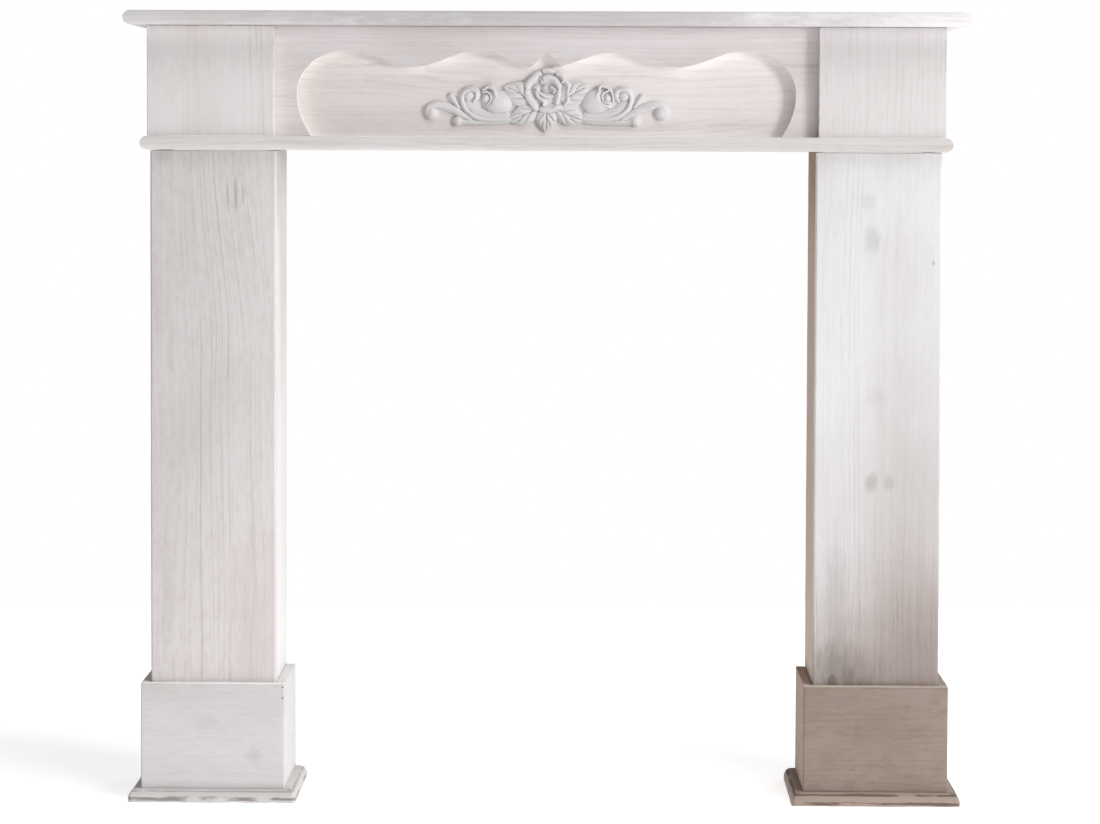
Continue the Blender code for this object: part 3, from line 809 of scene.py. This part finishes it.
def through(points, steps):
    """A smooth run through tuples of numbers, with this many steps between each two."""
    ends = [points[0], *points, points[-1]]
    run = []
    for before, start, end, after in zip(ends, ends[1:], ends[2:], ends[3:]):
        for step in range(steps):
            t = step / steps
            place = []
            for a, b, c, d in zip(before, start, end, after):
                square = (2 * a - 5 * b + 4 * c - d) * t**2
                cube = (3 * b - a - 3 * c + d) * t**3
                place.append(0.5 * (2 * b + (c - a) * t + square + cube))
            run.append(tuple(place))
    run.append(points[-1])
    return run


def relief_point(u, v, height):
    """A point of the ornament: across and up in template units, and metres out of the panel."""
    return Vector((u * UNIT, -height, v * UNIT))


def headings(run):
    """The direction of travel at each point of a run."""
    found = []
    for i in range(len(run)):
        a, b = run[max(i - 1, 0)], run[min(i + 1, len(run) - 1)]
        span = hypot(b[0] - a[0], b[1] - a[1])
        found.append(((b[0] - a[0]) / span, (b[1] - a[1]) / span))
    return found


def round_section(half_width, height):
    """Half a round, with feet sunk into the panel."""
    arc = [(half_width * cos(pi * k / 16), height * sin(pi * k / 16)) for k in range(17)]
    return [(half_width, -ORNAMENT_SINK), *arc, (-half_width, -ORNAMENT_SINK)]


def scroll_section(half_width, height, outer):
    """A volute's rim: a wide slope on its outer side, and its crest beside the hollow."""
    slope = ((1.0, None), (0.97, 0.25), (0.15, 0.93))
    profile = (*slope, (-0.25, 1.0), (-0.65, 0.92), (-0.92, 0.6), (-1.0, None))
    return [(outer * half_width * x, -ORNAMENT_SINK if y is None else height * y) for x, y in profile]


def lip_section(half_width, height):
    """A petal: a slope outside, its flat rolled lip, and a hollow side down into the flower."""
    return [
        (half_width * 1.95, -ORNAMENT_SINK),
        (half_width * 1.85, height * 0.30),
        (half_width * 1.25, height * 0.80),
        (half_width * 1.00, height * 0.95),
        (half_width * 0.60, height),
        (-half_width * 0.60, height * 0.98),
        (-half_width * 0.95, height * 0.90),
        (-half_width * 1.25, height * 0.74),
        (-half_width * 2.00, height * 0.58),
        (-half_width * 3.00, height * 0.42),
        (-half_width * 3.10, -ORNAMENT_SINK),
    ]


def ridge(points, steps=8, section=round_section):
    """A solid along (across, up, half width, height) points, with rounded ends."""
    run = through(points, steps)
    stations = [(*station, *way) for station, way in zip(run, headings(run))]
    first, last = stations[0], stations[-1]
    for turn in (radians(20), radians(40), radians(60), radians(78)):
        for end, sign in ((first, -1), (last, 1)):
            u, v, half_width, height, du, dv = end
            out = sign * half_width * sin(turn)
            size = cos(turn)
            cap = (u + out * du, v + out * dv, half_width * size, height * (0.4 + 0.6 * size), du, dv)
            stations.insert(0, cap) if sign < 0 else stations.append(cap)
    rings = []
    for u, v, half_width, height, du, dv in stations:
        section_here = section(half_width, height)
        rings.append([relief_point(u + dv * out, v - du * out, rise) for out, rise in section_here])
    return loft(rings)


def dome(u, v, across, up, height, lean=0.0, rows=24):
    """Half an egg, its other half sunk behind the panel."""
    bm = bmesh.new()
    bmesh.ops.create_uvsphere(bm, u_segments=rows * 2, v_segments=rows, radius=1.0)
    for vert in bm.verts:
        x, y, z = vert.co
        turned_u = across * x * cos(lean) - up * y * sin(lean)
        turned_v = across * x * sin(lean) + up * y * cos(lean)
        vert.co = relief_point(u + turned_u, v + turned_v, max(height * z, -ORNAMENT_SINK))
    bmesh.ops.recalc_face_normals(bm, faces=bm.faces)
    return bm


def bulb(side):
    """The round body of a bud, with a shallow pocket on the side that faces the volute."""
    bm = dome(side * 62.5, 44.2, 20.0, 15.6, BUD_RELIEF, side * radians(12), rows=60)
    for vert in bm.verts:
        u, v = vert.co.x / UNIT * side, vert.co.z / UNIT
        share = hypot((u - 76.0) / 10.0, (v - 50.0) / 12.0)
        inside = max(0.0, min(1.0, (1.0 - share) * 5.0))
        if vert.co.y < 0:
            vert.co.y *= 1 - 0.22 * inside * inside * (3 - 2 * inside)
    return bm


def leaf_level(across, along):
    """How high a leaf stands, as a share, with a groove along its middle and side veins."""
    share = abs(across)
    level = 0.34 + 0.66 * (1 - share**3.2) ** 0.55
    level -= 0.36 * exp(-((across / 0.085) ** 2)) * min(1.0, (1 - along) * 5)
    for start in (0.14, 0.44) if across > 0 else (0.22, 0.50):
        vein = (along - start) * 2.1
        if 0 < vein < 0.9:
            depth = 0.24 * min(1.0, (0.9 - vein) * 4)
            level -= depth * exp(-(((share - vein) / 0.09) ** 2))
    return level


def leaf(base, tip, half_width, height, bend=0.0, stations=44):
    """A pointed leaf that swells between its middle groove and its side veins."""
    du, dv = tip[0] - base[0], tip[1] - base[1]
    length = hypot(du, dv)
    du, dv = du / length, dv / length
    shares = [1 - k / 22 for k in range(45)]
    rings = []
    for k in range(stations + 1):
        t = 0.02 + 0.97 * k / stations
        width = half_width * sin(pi * t**0.8) ** 0.75
        middle = bend * sin(pi * t)
        along = length * t
        rise = height * (0.62 + 0.38 * sin(pi * min(1.0, t * 1.05)))
        section = [(1.0, None), *[(x, leaf_level(x, t)) for x in shares], (-1.0, None)]
        ring = []
        for share, level in section:
            out = width * share + middle
            u = base[0] + du * along + dv * out
            v = base[1] + dv * along - du * out
            ring.append(relief_point(u, v, -ORNAMENT_SINK if level is None else rise * level))
        rings.append(ring)
    return loft(rings)


def petal(lip, half_width, height, section=lip_section):
    """A petal whose lip runs anticlockwise through (across, up) places round the rose's middle."""
    last = len(lip) - 1
    points = []
    for i, (u, v) in enumerate(lip):
        end = i in (0, last)
        width = half_width * (0.80 if end else 1.0)
        points.append((u, ROSE_CENTRE + v, width, height * ROSE_RELIEF * (0.90 if end else 1.0)))
    return ridge(points, steps=8, section=section)


# Each petal: half width, height as a share of the rose's, and its lip
PETALS = (
    (1.7, 0.62, ((9.3, 23.4), (5.8, 25.6), (0.5, 26.4), (-4.2, 25.2))),
    (1.4, 0.66, ((20.0, 11.2), (22.0, 13.4), (20.8, 17.8), (17.6, 21.1), (12.3, 21.9))),
    (
        1.35,
        0.66,
        ((23.5, -17.0), (26.4, -14.0), (27.2, -8.1), (26.6, -2.2), (27.6, 3.1), (27.0, 8.4), (24.1, 11.3)),
    ),
    (2.3, 0.72, ((-7.8, -22.9), (-2.5, -24.7), (6.4, -24.1), (12.3, -22.0), (17.6, -20.8))),
    (2.7, 0.72, ((-24.9, 0.1), (-23.7, -6.4), (-20.1, -12.9), (-14.8, -20.5), (-11.9, -23.5))),
    (2.7, 0.66, ((-8.9, 22.5), (-13.1, 19.0), (-19.0, 13.7), (-23.1, 8.4), (-24.6, 3.1))),
    (2.1, 0.84, ((16.1, 3.1), (14.1, 9.0), (9.3, 14.3), (2.9, 17.2), (-3.6, 16.6))),
    (2.0, 0.80, ((12.6, -15.8), (14.1, -11.1), (15.2, -5.2), (15.8, 0.7))),
    (
        1.6,
        0.84,
        (
            (-14.8, 4.8),
            (-10.9, 3.1),
            (-11.9, -2.2),
            (-10.1, -7.5),
            (-5.4, -11.7),
            (-2.9, -14.8),
            (-3.8, -18.8),
        ),
    ),
    (1.4, 0.93, ((-10.1, -1.4), (-5.4, -5.0), (0.5, -7.3), (7.6, -6.4))),
    (1.3, 0.95, ((8.8, -2.8), (10.5, 0.4), (5.8, 5.4))),
)


def rose():
    """The rose: a low mound, its petals, and a bud with two small folds in the middle."""
    yield dome(0, ROSE_CENTRE, ROSE_RADIUS * 0.86, ROSE_RADIUS * 0.86, ROSE_RELIEF * 0.40)
    for half_width, height, lip in PETALS:
        yield petal(lip, half_width, height)
    yield petal(((-6.0, 8.4), (-6.9, 12.5), (-7.5, 18.4)), 0.9, 0.74, section=round_section)
    yield dome(-1.3, ROSE_CENTRE + 2.6, 5.9, 5.9, ROSE_RELIEF * 0.92)
    yield petal(((2.8, 0.2), (3.2, 3.4), (0.8, 6.0)), 0.7, 1.0, section=round_section)
    yield petal(((-2.0, -1.6), (0.6, 0.8), (-0.6, 3.8)), 0.7, 1.02, section=round_section)


# Places of the buds' lips and folds: across, up, half width, and height as a share of the bud's
BUD_LIPS = {
    -1: (
        (80.5, 58.5, 1.9, 0.72),
        (76.0, 62.0, 2.5, 0.84),
        (70.6, 62.4, 2.9, 0.94),
        (65.8, 57.8, 3.0, 1.02),
        (63.8, 50.6, 3.0, 1.05),
        (60.2, 45.0, 2.8, 1.03),
        (53.4, 42.2, 1.6, 1.00),
    ),
    1: (
        (84.6, 45.0, 1.8, 0.74),
        (82.8, 56.0, 2.1, 0.80),
        (76.0, 62.6, 2.2, 0.88),
        (68.6, 64.2, 2.3, 0.92),
        (66.4, 57.6, 2.3, 1.00),
        (62.8, 48.4, 2.2, 1.03),
        (70.4, 41.4, 2.1, 1.00),
        (79.0, 37.6, 1.9, 0.84),
    ),
}
BUD_FOLDS = {
    -1: (
        (80.4, 55.8, 1.6, 0.80),
        (75.4, 56.2, 1.8, 0.88),
        (70.8, 51.8, 1.8, 0.92),
        (70.6, 45.4, 1.8, 0.92),
        (74.6, 40.6, 1.5, 0.86),
    ),
    1: (
        (77.6, 58.0, 1.5, 0.86),
        (72.0, 55.0, 1.7, 0.92),
        (70.6, 49.4, 1.7, 0.94),
        (73.8, 43.6, 1.7, 0.92),
        (80.0, 42.6, 1.5, 0.82),
    ),
}


# Ridges beside the rose: across, up, half width, and height as a share of the scrolls'
WEB = ((99.0, 41.0, 6.0, 0.50), (89.0, 31.0, 7.5, 0.55), (74.0, 25.0, 8.0, 0.60), (52.0, 25.0, 7.5, 0.65))
VOLUTE = (
    (48.0, 20.5, 4.2, 0.85),
    (72.0, 19.5, 4.4, 0.90),
    (90.0, 23.5, 4.2, 1.00),
    (101.5, 32.0, 3.8, 1.00),
    (107.0, 42.0, 3.6, 1.05),
    (107.5, 51.5, 3.8, 1.10),
    (102.5, 58.2, 3.8, 1.12),
    (94.5, 60.2, 3.9, 1.15),
    (88.0, 56.5, 4.2, 1.18),
    (87.4, 49.5, 4.0, 1.10),
    (91.0, 45.2, 2.4, 0.95),
)
STEM = ((50.0, 18.5, 3.6, 0.70), (74.0, 17.2, 3.8, 0.75), (98.0, 17.8, 4.2, 0.80), (109.0, 18.8, 5.0, 0.85))
OUTER_SCROLL = (
    (97.0, 21.5, 4.0, 0.80),
    (109.0, 28.4, 4.9, 0.88),
    (119.5, 34.4, 5.6, 0.90),
    (130.0, 38.4, 5.6, 0.92),
    (140.5, 39.6, 5.2, 0.98),
    (148.6, 36.6, 4.8, 1.02),
    (151.4, 30.6, 4.0, 1.00),
)
SMALL_CURL = ((111.5, 37.0, 2.4, 0.70), (117.0, 45.0, 3.6, 0.80), (120.8, 50.8, 4.2, 0.80))

# Domes beside the rose: across, up, half width and half height
BUD_CORE = (76.8, 48.4, 5.2, 6.0)
VOLUTE_EYE = (98.4, 51.8, 7.4, 7.0)
STEM_KNOB = (112.4, 19.0, 7.4, 6.9)
SCROLL_BALL = (145.4, 29.8, 9.0, 9.4)


def sprig(side):
    """The leaves, bud and scrolls on one side of the rose: side is -1 on the left and 1 on the right."""

    def raised(points, relief, section=round_section):
        placed = [(side * u, v, half_width, relief * share) for u, v, half_width, share in points]
        return ridge(placed, section=section)

    def ball(place, height, lean=0.0):
        u, v, across, up = place
        return dome(side * u, v, across, up, height, side * lean)

    def rim(half_width, height):
        return scroll_section(half_width, height, side)

    yield leaf((side * 11.5, 35.0), (side * 48.6, 19.2), 13.4, LEAF_RELIEF, side * 0.6)
    yield leaf((side * 20.0, 43.0), (side * 54.0, 64.0), 15.6, LEAF_RELIEF * 0.92, side * -2.2)

    # Bud: a bulb whose pocket holds a round core inside its fold and its lip
    yield bulb(side)
    yield raised(BUD_LIPS[side], BUD_RELIEF)
    yield raised(BUD_FOLDS[side], BUD_RELIEF)
    yield ball(BUD_CORE, BUD_RELIEF * 1.02)

    # Scrolls: a web between the volute and the bud, the volute, its stem, and the outer scroll
    yield raised(WEB, SCROLL_RELIEF)
    yield raised(VOLUTE, SCROLL_RELIEF, rim)
    yield ball(VOLUTE_EYE, SCROLL_RELIEF * 1.08, radians(-20))
    yield raised(STEM, SCROLL_RELIEF)
    yield ball(STEM_KNOB, SCROLL_RELIEF * 1.10)
    yield raised(OUTER_SCROLL, SCROLL_RELIEF)
    yield ball(SCROLL_BALL, SCROLL_RELIEF * 1.20)
    yield raised(SMALL_CURL, SCROLL_RELIEF)


def mark_hollows(mesh, rounds=6):
    """Writes how hollow each place is: over 0.5 in a crease, under it on a crest."""
    count = len(mesh.vertices)
    places = np.zeros(count * 3)
    mesh.vertices.foreach_get("co", places)
    places = places.reshape(-1, 3)
    edges = np.zeros(len(mesh.edges) * 2, int)
    mesh.edges.foreach_get("vertices", edges)
    edges = edges.reshape(-1, 2)
    near = np.bincount(edges.ravel(), minlength=count).astype(float)
    mean = places.copy()
    for _ in range(rounds):
        total = np.zeros_like(mean)
        for axis in range(3):
            total[:, axis] = np.bincount(edges[:, 0], mean[edges[:, 1], axis], count)
            total[:, axis] += np.bincount(edges[:, 1], mean[edges[:, 0], axis], count)
        mean = total / near[:, None]
    normals = np.zeros(count * 3)
    mesh.vertices.foreach_get("normal", normals)
    hollow = ((mean - places) * normals.reshape(-1, 3)).sum(1)
    layer = mesh.attributes.new("hollow", "FLOAT", "POINT")
    layer.data.foreach_set("value", np.clip(0.5 + hollow / HOLLOW_DEPTH, 0, 1).astype(np.float32))


def rose_ornament():
    """All the ornament's forms melted into one casting, flat at the back."""
    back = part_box("rose_ornament")[1].y
    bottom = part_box("recess_panel")[0].z
    forms = [*rose(), leaf((0, 38.0), (-0.6, 5.2), 13.6, LEAF_RELIEF), *sprig(-1), *sprig(1)]
    casting = bmesh.new()
    for form in forms:
        shape = bpy.data.meshes.new("ornament_form")
        form.to_mesh(shape)
        form.free()
        casting.from_mesh(shape)
        bpy.data.meshes.remove(shape)
    bmesh.ops.translate(casting, vec=(0, back, bottom), verts=casting.verts)
    piece = object_from(casting, "dressed_rose_ornament")
    melt = piece.modifiers.new("melt", "REMESH")
    melt.mode = "VOXEL"
    melt.voxel_size = CASTING_VOXEL
    settle(piece)
    bm = bmesh.new()
    bm.from_mesh(piece.data)
    everything = [*bm.verts, *bm.edges, *bm.faces]
    bmesh.ops.bisect_plane(bm, geom=everything, plane_co=(0, back, 0), plane_no=(0, 1, 0), clear_outer=True)
    rim = [edge for edge in bm.edges if edge.is_boundary]
    bmesh.ops.triangle_fill(bm, edges=rim, use_beauty=False, normal=(0, 1, 0))
    bmesh.ops.recalc_face_normals(bm, faces=bm.faces)
    bm.to_mesh(piece.data)
    bm.free()
    for face in piece.data.polygons:
        face.use_smooth = True
    piece.data.set_sharp_from_angle(angle=radians(60))
    mark_hollows(piece.data)
    piece.data.materials.clear()
    piece.data.materials.append(cast_white())
    stand_for(piece, "rose_ornament", slot="painted_casting")


# Pins


def pins(recipe):
    """Pin heads along the edges of the plinth and leg boards."""
    spots = []
    for sign, word in ((-1, "left"), (1, "right")):
        for part, heights in (("plinth", PLINTH_PIN_HEIGHTS), ("leg", LEG_PIN_HEIGHTS)):
            low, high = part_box(f"{word}_{part}_outer_side")
            outer = high.x if sign > 0 else low.x
            ground = low.z if part == "plinth" else 0.0
            for z in heights:
                spots.append(((outer, low.y + PIN_FROM_FRONT, ground + z), (sign, 0, 0)))
                spots.append(((outer, high.y - PIN_FROM_BACK, ground + z), (sign, 0, 0)))
        low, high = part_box(f"{word}_block_return")
        outer = high.x if sign > 0 else low.x
        for z in BLOCK_PIN_HEIGHTS:
            spots.append(((outer, low.y + PIN_FROM_FRONT, low.z + z), (sign, 0, 0)))
    low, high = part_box("left_plinth_front")
    for z in CORNER_PIN_HEIGHTS:
        spots.append(((high.x - PIN_FROM_CORNER, low.y, low.z + z), (0, -1, 0)))
    mesh = bpy.data.meshes.new("pin_places")
    mesh.from_pydata([place for place, _ in spots], [], [])
    layer = mesh.attributes.new("facing", "FLOAT_VECTOR", "POINT")
    layer.data.foreach_set("vector", [float(number) for _, facing in spots for number in facing])
    obj = bpy.data.objects.new("pin_heads", mesh)
    bpy.context.scene.collection.objects.link(obj)
    sizes = {"Head Radius": PIN_RADIUS, "Head Rise": PIN_RISE, "Head Sides": PIN_SIDES, "Seed": 4}
    piece = recipe.applied_to(obj, sizes | {"Material": pin_metal()})
    for face in piece.data.polygons:
        face.use_smooth = True
    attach(piece, "root")


# Looks of each board

# Painted light: the shelf is tinted lighter towards its right end and darker towards its left end
SHELF_LOOK = dict(
    paint=linear(233, 230, 231),
    low_tint=(0.94, 0.94, 0.95),
    high_tint=(1.10, 1.10, 1.13),
    rings=120,
    growth=0.16,
    edge_wear=0.10,
    smudges=((0.05, 0.991, 0.36, 0.2, 0.34),),
)
MOULDING_LOOK = dict(
    paint=linear(228, 224, 224),
    high_tint=(0.88, 0.88, 0.87),
    rings=120,
    growth=0.16,
    hair=0.16,
    edge_wear=0.10,
)
FASCIA_LOOK = dict(
    paint=linear(235, 229, 230), rings=110, swirl=18, growth=0.17, hair=0.13, edge_width=0.0006
)
# Painted highlight: the sawn faces of the cut-out are painted near white, so they read as a lit line
CUT_FACE_HIGHLIGHT_LOOK = dict(paint=linear(250, 247, 246), growth=0.06, hair=0.0, fibre=0.04, edge_wear=0.0)
PANEL_LOOK = dict(
    paint=linear(247, 240, 238), high_tint=(1.10, 1.12, 1.15), rings=90, swirl=24, growth=0.20, hair=0.13
)
LEFT_BLOCK_LOOK = dict(
    paint=linear(237, 233, 233),
    growth=0.06,
    hair=0.05,
    fibre=0.04,
    streaks=((0.052, 0.0012, 0.20), (0.060, 0.0010, 0.26), (0.066, 0.0010, 0.26)),
)
RIGHT_BLOCK_LOOK = dict(paint=linear(225, 220, 221), growth=0.10, hair=0.12)
LEFT_LEG_LOOK = dict(
    paint=linear(217, 212, 210),
    ground=linear(138, 130, 122),
    low_tint=(1.07, 1.06, 1.09),
    high_tint=(1.02, 1.04, 1.06),
    side_tint=(1.07, 1.07, 1.07),
    rings=140,
    growth=0.12,
    bend=0.009,
    edge_wear=0.35,
    mottling=0.14,
    fan=0.024,
    streaks=(
        (-0.0328, 0.0012, 0.24),
        (-0.0219, 0.0009, 0.14),
        (-0.0172, 0.0009, 0.18),
        (-0.0113, 0.0009, 0.16),
        (-0.0046, 0.0012, 0.24),
        (0.0200, 0.0010, 0.14),
        (0.0330, 0.0010, 0.16),
    ),
    smudges=(
        (-0.4017, 0.769, 0.0028, 0.020, 0.24),
        (-0.3910, 0.771, 0.0028, 0.022, 0.30),
        (-0.3820, 0.771, 0.0024, 0.016, 0.24),
        (-0.4800, 0.822, 0.0100, 0.014, 0.14),
        (-0.4780, 0.260, 0.0100, 0.090, 0.12),
    ),
)
# Darker and browner towards the bottom and towards the right side: partly a thinner, browner wash, partly
# painted shade
RIGHT_LEG_LOOK = dict(
    paint=linear(229, 228, 230),
    ground=linear(108, 101, 97),
    low_tint=(0.41, 0.320, 0.272),
    low_reach=0.58,
    low_grain=2.6,
    side_tint=(0.84, 0.82, 0.81),
    side_below=0.9,
    rings=120,
    growth=0.07,
    hair=0.05,
    fibre=0.05,
    bend=0.007,
    edge_wear=0.5,
    streaks=(
        (-0.0430, 0.0012, 0.07),
        (-0.0350, 0.0014, 0.11),
        (-0.0290, 0.0010, 0.10),
        (-0.0230, 0.0014, 0.09),
        (0.0040, 0.0010, 0.06),
    ),
    smudges=(
        (0.4120, 0.716, 0.0100, 0.018, 0.22),
        (0.4050, 0.764, 0.0110, 0.012, 0.11),
        (0.4130, 0.407, 0.0100, 0.014, 0.30),
        (0.4350, 0.407, 0.0080, 0.011, 0.20),
        (0.4160, 0.517, 0.0120, 0.014, 0.10),
        (0.3640, 0.150, 0.0110, 0.012, 0.55),
        (0.3880, 0.158, 0.0110, 0.020, 0.36),
        (0.4060, 0.150, 0.0110, 0.018, 0.36),
        (0.3700, 0.170, 0.0420, 0.040, 0.44),
        (0.4300, 0.145, 0.0600, 0.010, 0.30),
        (0.3660, 0.250, 0.0200, 0.120, 0.20),
        (0.4885, 0.686, 0.0020, 0.004, 0.45),
    ),
)
# Painted shadow: darker over the top part of the side, where the moulding casts its shadow
LEFT_INNER_LOOK = dict(
    paint=linear(234, 234, 235),
    high_tint=(0.84, 0.82, 0.81),
    low_from=0.70,
    growth=0.06,
    hair=0.05,
    fibre=0.05,
    edge_wear=0.1,
)
# Painted shade: a brown paint, darker and redder at the top, for a side turned away from the light
RIGHT_INNER_LOOK = dict(
    paint=linear(206, 186, 173), high_tint=(0.62, 0.51, 0.45), low_from=0.68, low_reach=1.04, edge_wear=0.3
)
# Painted shade: a darker paint on the left leg's outer side, which is turned away from the light
LEFT_OUTER_LOOK = dict(paint=linear(206, 196, 190))
# Darker and browner towards the bottom, as on the right leg's front: partly a thinner wash, partly painted
# shade
RIGHT_OUTER_LOOK = dict(paint=linear(204, 198, 196), low_tint=(0.46, 0.40, 0.36), low_reach=0.58)
LEFT_PLINTH_LOOK = dict(
    paint=linear(218, 215, 217),
    rings=110,
    swirl=14,
    growth=0.10,
    hair=0.09,
    fibre=0.05,
    edge_width=0.0012,
    edge_wear=0.4,
    mottling=0.09,
    crest=1.0,
    crest_highlight_paint=linear(252, 251, 251),
    smudges=((-0.3680, 0.058, 0.0120, 0.012, 0.14), (-0.4300, 0.100, 0.0200, 0.010, 0.08)),
)
# Brown all over, darker than the left plinth: partly a thinner, browner wash, partly painted shade
RIGHT_PLINTH_LOOK = dict(
    paint=linear(153, 138, 129),
    ground=linear(98, 84, 72),
    rings=110,
    swirl=30,
    growth=0.20,
    hair=0.14,
    fibre=0.14,
    pores=0.26,
    patches=0.16,
    mottling=0.30,
    crest=0.75,
    crest_highlight_paint=linear(208, 196, 186),
    edge_width=0.0016,
    edge=linear(96, 82, 62),
    smudges=(
        (0.3960, 0.092, 0.0050, 0.016, 0.26),
        (0.3580, 0.060, 0.0180, 0.012, 0.16),
        (0.4560, 0.036, 0.0300, 0.008, 0.14),
        (0.4550, 0.122, 0.0400, 0.006, 0.16),
        (0.3800, 0.132, 0.0400, 0.006, 0.18),
    ),
)
LEFT_FOOT_LOOK = dict(
    paint=linear(218, 216, 216),
    edge=linear(138, 132, 128),
    edge_wear=0.3,
    bands=((0.0140, 0.0010, 0.50), (0.0054, 0.0030, 0.90)),
)
# Browner than the left foot: partly a thinner wash, partly painted shade
RIGHT_FOOT_LOOK = dict(
    paint=linear(166, 150, 139),
    edge=linear(90, 76, 66),
    edge_wear=0.4,
    bands=((0.0136, 0.0016, 0.80), (0.0036, 0.0022, 0.80)),
)


def plain(plinth):
    """A plinth's look on its sides, without the marks of its front and with a weaker painted highlight along
    its top.
    """
    return dict(plinth, smudges=(), crest=0.3)


LOOKS = {
    "left": dict(
        block=LEFT_BLOCK_LOOK,
        leg=LEFT_LEG_LOOK,
        leg_inner=LEFT_INNER_LOOK,
        leg_outer=LEFT_OUTER_LOOK,
        plinth=LEFT_PLINTH_LOOK,
        plinth_inner=plain(LEFT_PLINTH_LOOK),
        plinth_outer=plain(LEFT_PLINTH_LOOK),
        foot=LEFT_FOOT_LOOK,
    ),
    "right": dict(
        block=RIGHT_BLOCK_LOOK,
        leg=RIGHT_LEG_LOOK,
        leg_inner=RIGHT_INNER_LOOK,
        leg_outer=RIGHT_OUTER_LOOK,
        plinth=RIGHT_PLINTH_LOOK,
        # The right plinth's sides are brown like its front: partly a thinner wash, partly painted shade
        plinth_inner=dict(plain(RIGHT_PLINTH_LOOK), paint=linear(174, 150, 134)),
        plinth_outer=dict(plain(RIGHT_PLINTH_LOOK), paint=linear(140, 126, 117)),
        foot=RIGHT_FOOT_LOOK,
    ),
}


def mantelpiece():
    """Every piece of the surround, each in the place of its node."""
    bullnose = bullnose_recipe()
    bullnose_board(bullnose, "mantel_shelf", SHELF_WEAR, 3, SHELF_LOOK)
    bullnose_board(bullnose, "lower_moulding", MOULDING_WEAR, 8, MOULDING_LOOK)
    frieze_fascia(FASCIA_LOOK)
    dressed_board("recess_panel", ALONG_X, PANEL_EDGES, 12, PANEL_LOOK)
    rose_ornament()
    for seed, (word, looks) in zip((20, 40), LOOKS.items()):
        dressed_board(word + "_block_front", ALONG_Z, BLOCK_EDGES, seed, looks["block"])
        dressed_board(word + "_block_return", ALONG_Z, RETURN_EDGES, seed + 1, looks["block"])
        dressed_board(word + "_leg_front", ALONG_Z, LEG_EDGES, seed + 2, looks["leg"])
        dressed_board(word + "_plinth_front", ALONG_X, PLINTH_EDGES, seed + 3, looks["plinth"])
        for turn, place in ((4, "inner"), (5, "outer")):
            leg, plinth = looks["leg_" + place], looks["plinth_" + place]
            dressed_board(f"{word}_leg_{place}_side", ALONG_Z, SIDE_EDGES, seed + turn, leg)
            dressed_board(f"{word}_plinth_{place}_side", ALONG_Y, SIDE_EDGES, seed + turn + 2, plinth)
        foot_board(word + "_foot_board", seed + 9, looks["foot"])
    pins(pin_recipe())


# Studio


def camera():
    """The photograph's place, aim and framing."""
    turn, tilt, roll = CAMERA_TURN, CAMERA_TILT, CAMERA_ROLL
    ahead = Vector((-sin(turn) * cos(tilt), cos(turn) * cos(tilt), -sin(tilt)))
    right = Vector((cos(turn), sin(turn), 0))
    up = right.cross(ahead)
    turned_right = right * cos(roll) + up * sin(roll)
    turned_up = up * cos(roll) - right * sin(roll)
    view = Matrix((turned_right, turned_up, -ahead)).transposed().to_4x4()
    view.translation = CAMERA_PLACE
    lens = bpy.data.cameras.new("camera")
    lens.sensor_width = SENSOR_WIDTH
    lens.lens = FOCAL_PIXELS / IMAGE_WIDTH * SENSOR_WIDTH
    lens.shift_y = CAMERA_SHIFT_Y
    lens.clip_end = 60
    obj = bpy.data.objects.new("camera", lens)
    obj.matrix_world = view
    bpy.context.scene.collection.objects.link(obj)
    bpy.context.scene.camera = obj


WHITE = (1.0, 1.0, 1.0)
LAMP_TARGET = Vector((0, 0, 0.55))

# Lamps: degrees to the right of straight ahead of the front, degrees up, distance, size, power and colour
LAMPS = {
    "key": (49, 12, 4.5, 1.2, 83, WHITE),
    "side": (84, 8, 4.5, 2.0, 22, WHITE),
    "fill": (8, 15, 5.0, 3.5, 6.5, (1.0, 0.98, 0.97)),
    "top": (42, 62, 4.0, 1.8, 84, WHITE),
    "rear_right": (135, 25, 4.5, 2.5, 40, WHITE),
    "rear_left": (225, 25, 4.5, 2.5, 26, WHITE),
}
FLOOR_CORNERS = ((-3.0, -2.2), (3.0, -2.2), (3.0, 1.8), (-3.0, 1.8))


def lamp(name, bearing, height, distance, size, power, colour):
    """A soft square light, aimed at the middle of the surround."""
    light = bpy.data.lights.new(name, "AREA")
    light.shape = "SQUARE"
    light.size = size
    light.energy = power
    light.color = colour
    way = Vector((sin(bearing) * cos(height), -cos(bearing) * cos(height), sin(height)))
    obj = bpy.data.objects.new(name, light)
    obj.location = LAMP_TARGET + way * distance
    obj.rotation_euler = way.to_track_quat("Z", "Y").to_euler()
    bpy.context.scene.collection.objects.link(obj)


def studio():
    """A white floor, soft lamps, and a world that the camera sees as white."""
    bm = bmesh.new()
    bm.faces.new([bm.verts.new((x, y, 0.0)) for x, y in FLOOR_CORNERS])
    floor = object_from(bm, "studio_floor")
    floor.data.materials.append(stage_white())
    for name, (bearing, height, *rest) in LAMPS.items():
        lamp(name, radians(bearing), radians(height), *rest)
    world = bpy.data.worlds.new("studio")
    world.use_nodes = True
    bpy.context.scene.world = world
    sheet = Sheet(world.node_tree)
    world.node_tree.nodes.clear()
    ambient = sheet.node("ShaderNodeBackground", None, {"Color": (1.0, 0.95, 0.91, 1), "Strength": 0.10})
    white = sheet.node("ShaderNodeBackground", None, {"Color": (1.0, 1.0, 1.0, 1), "Strength": 1.0})
    seen = sheet.node("ShaderNodeLightPath", None, None, "Is Camera Ray")
    mixed = sheet.node("ShaderNodeMixShader", None, {0: seen, 1: ambient, 2: white})
    sheet.last("ShaderNodeOutputWorld", mixed)
    bpy.context.scene.view_settings.view_transform = "Standard"


mantelpiece()
studio()
camera()
bpy.context.view_layer.update()
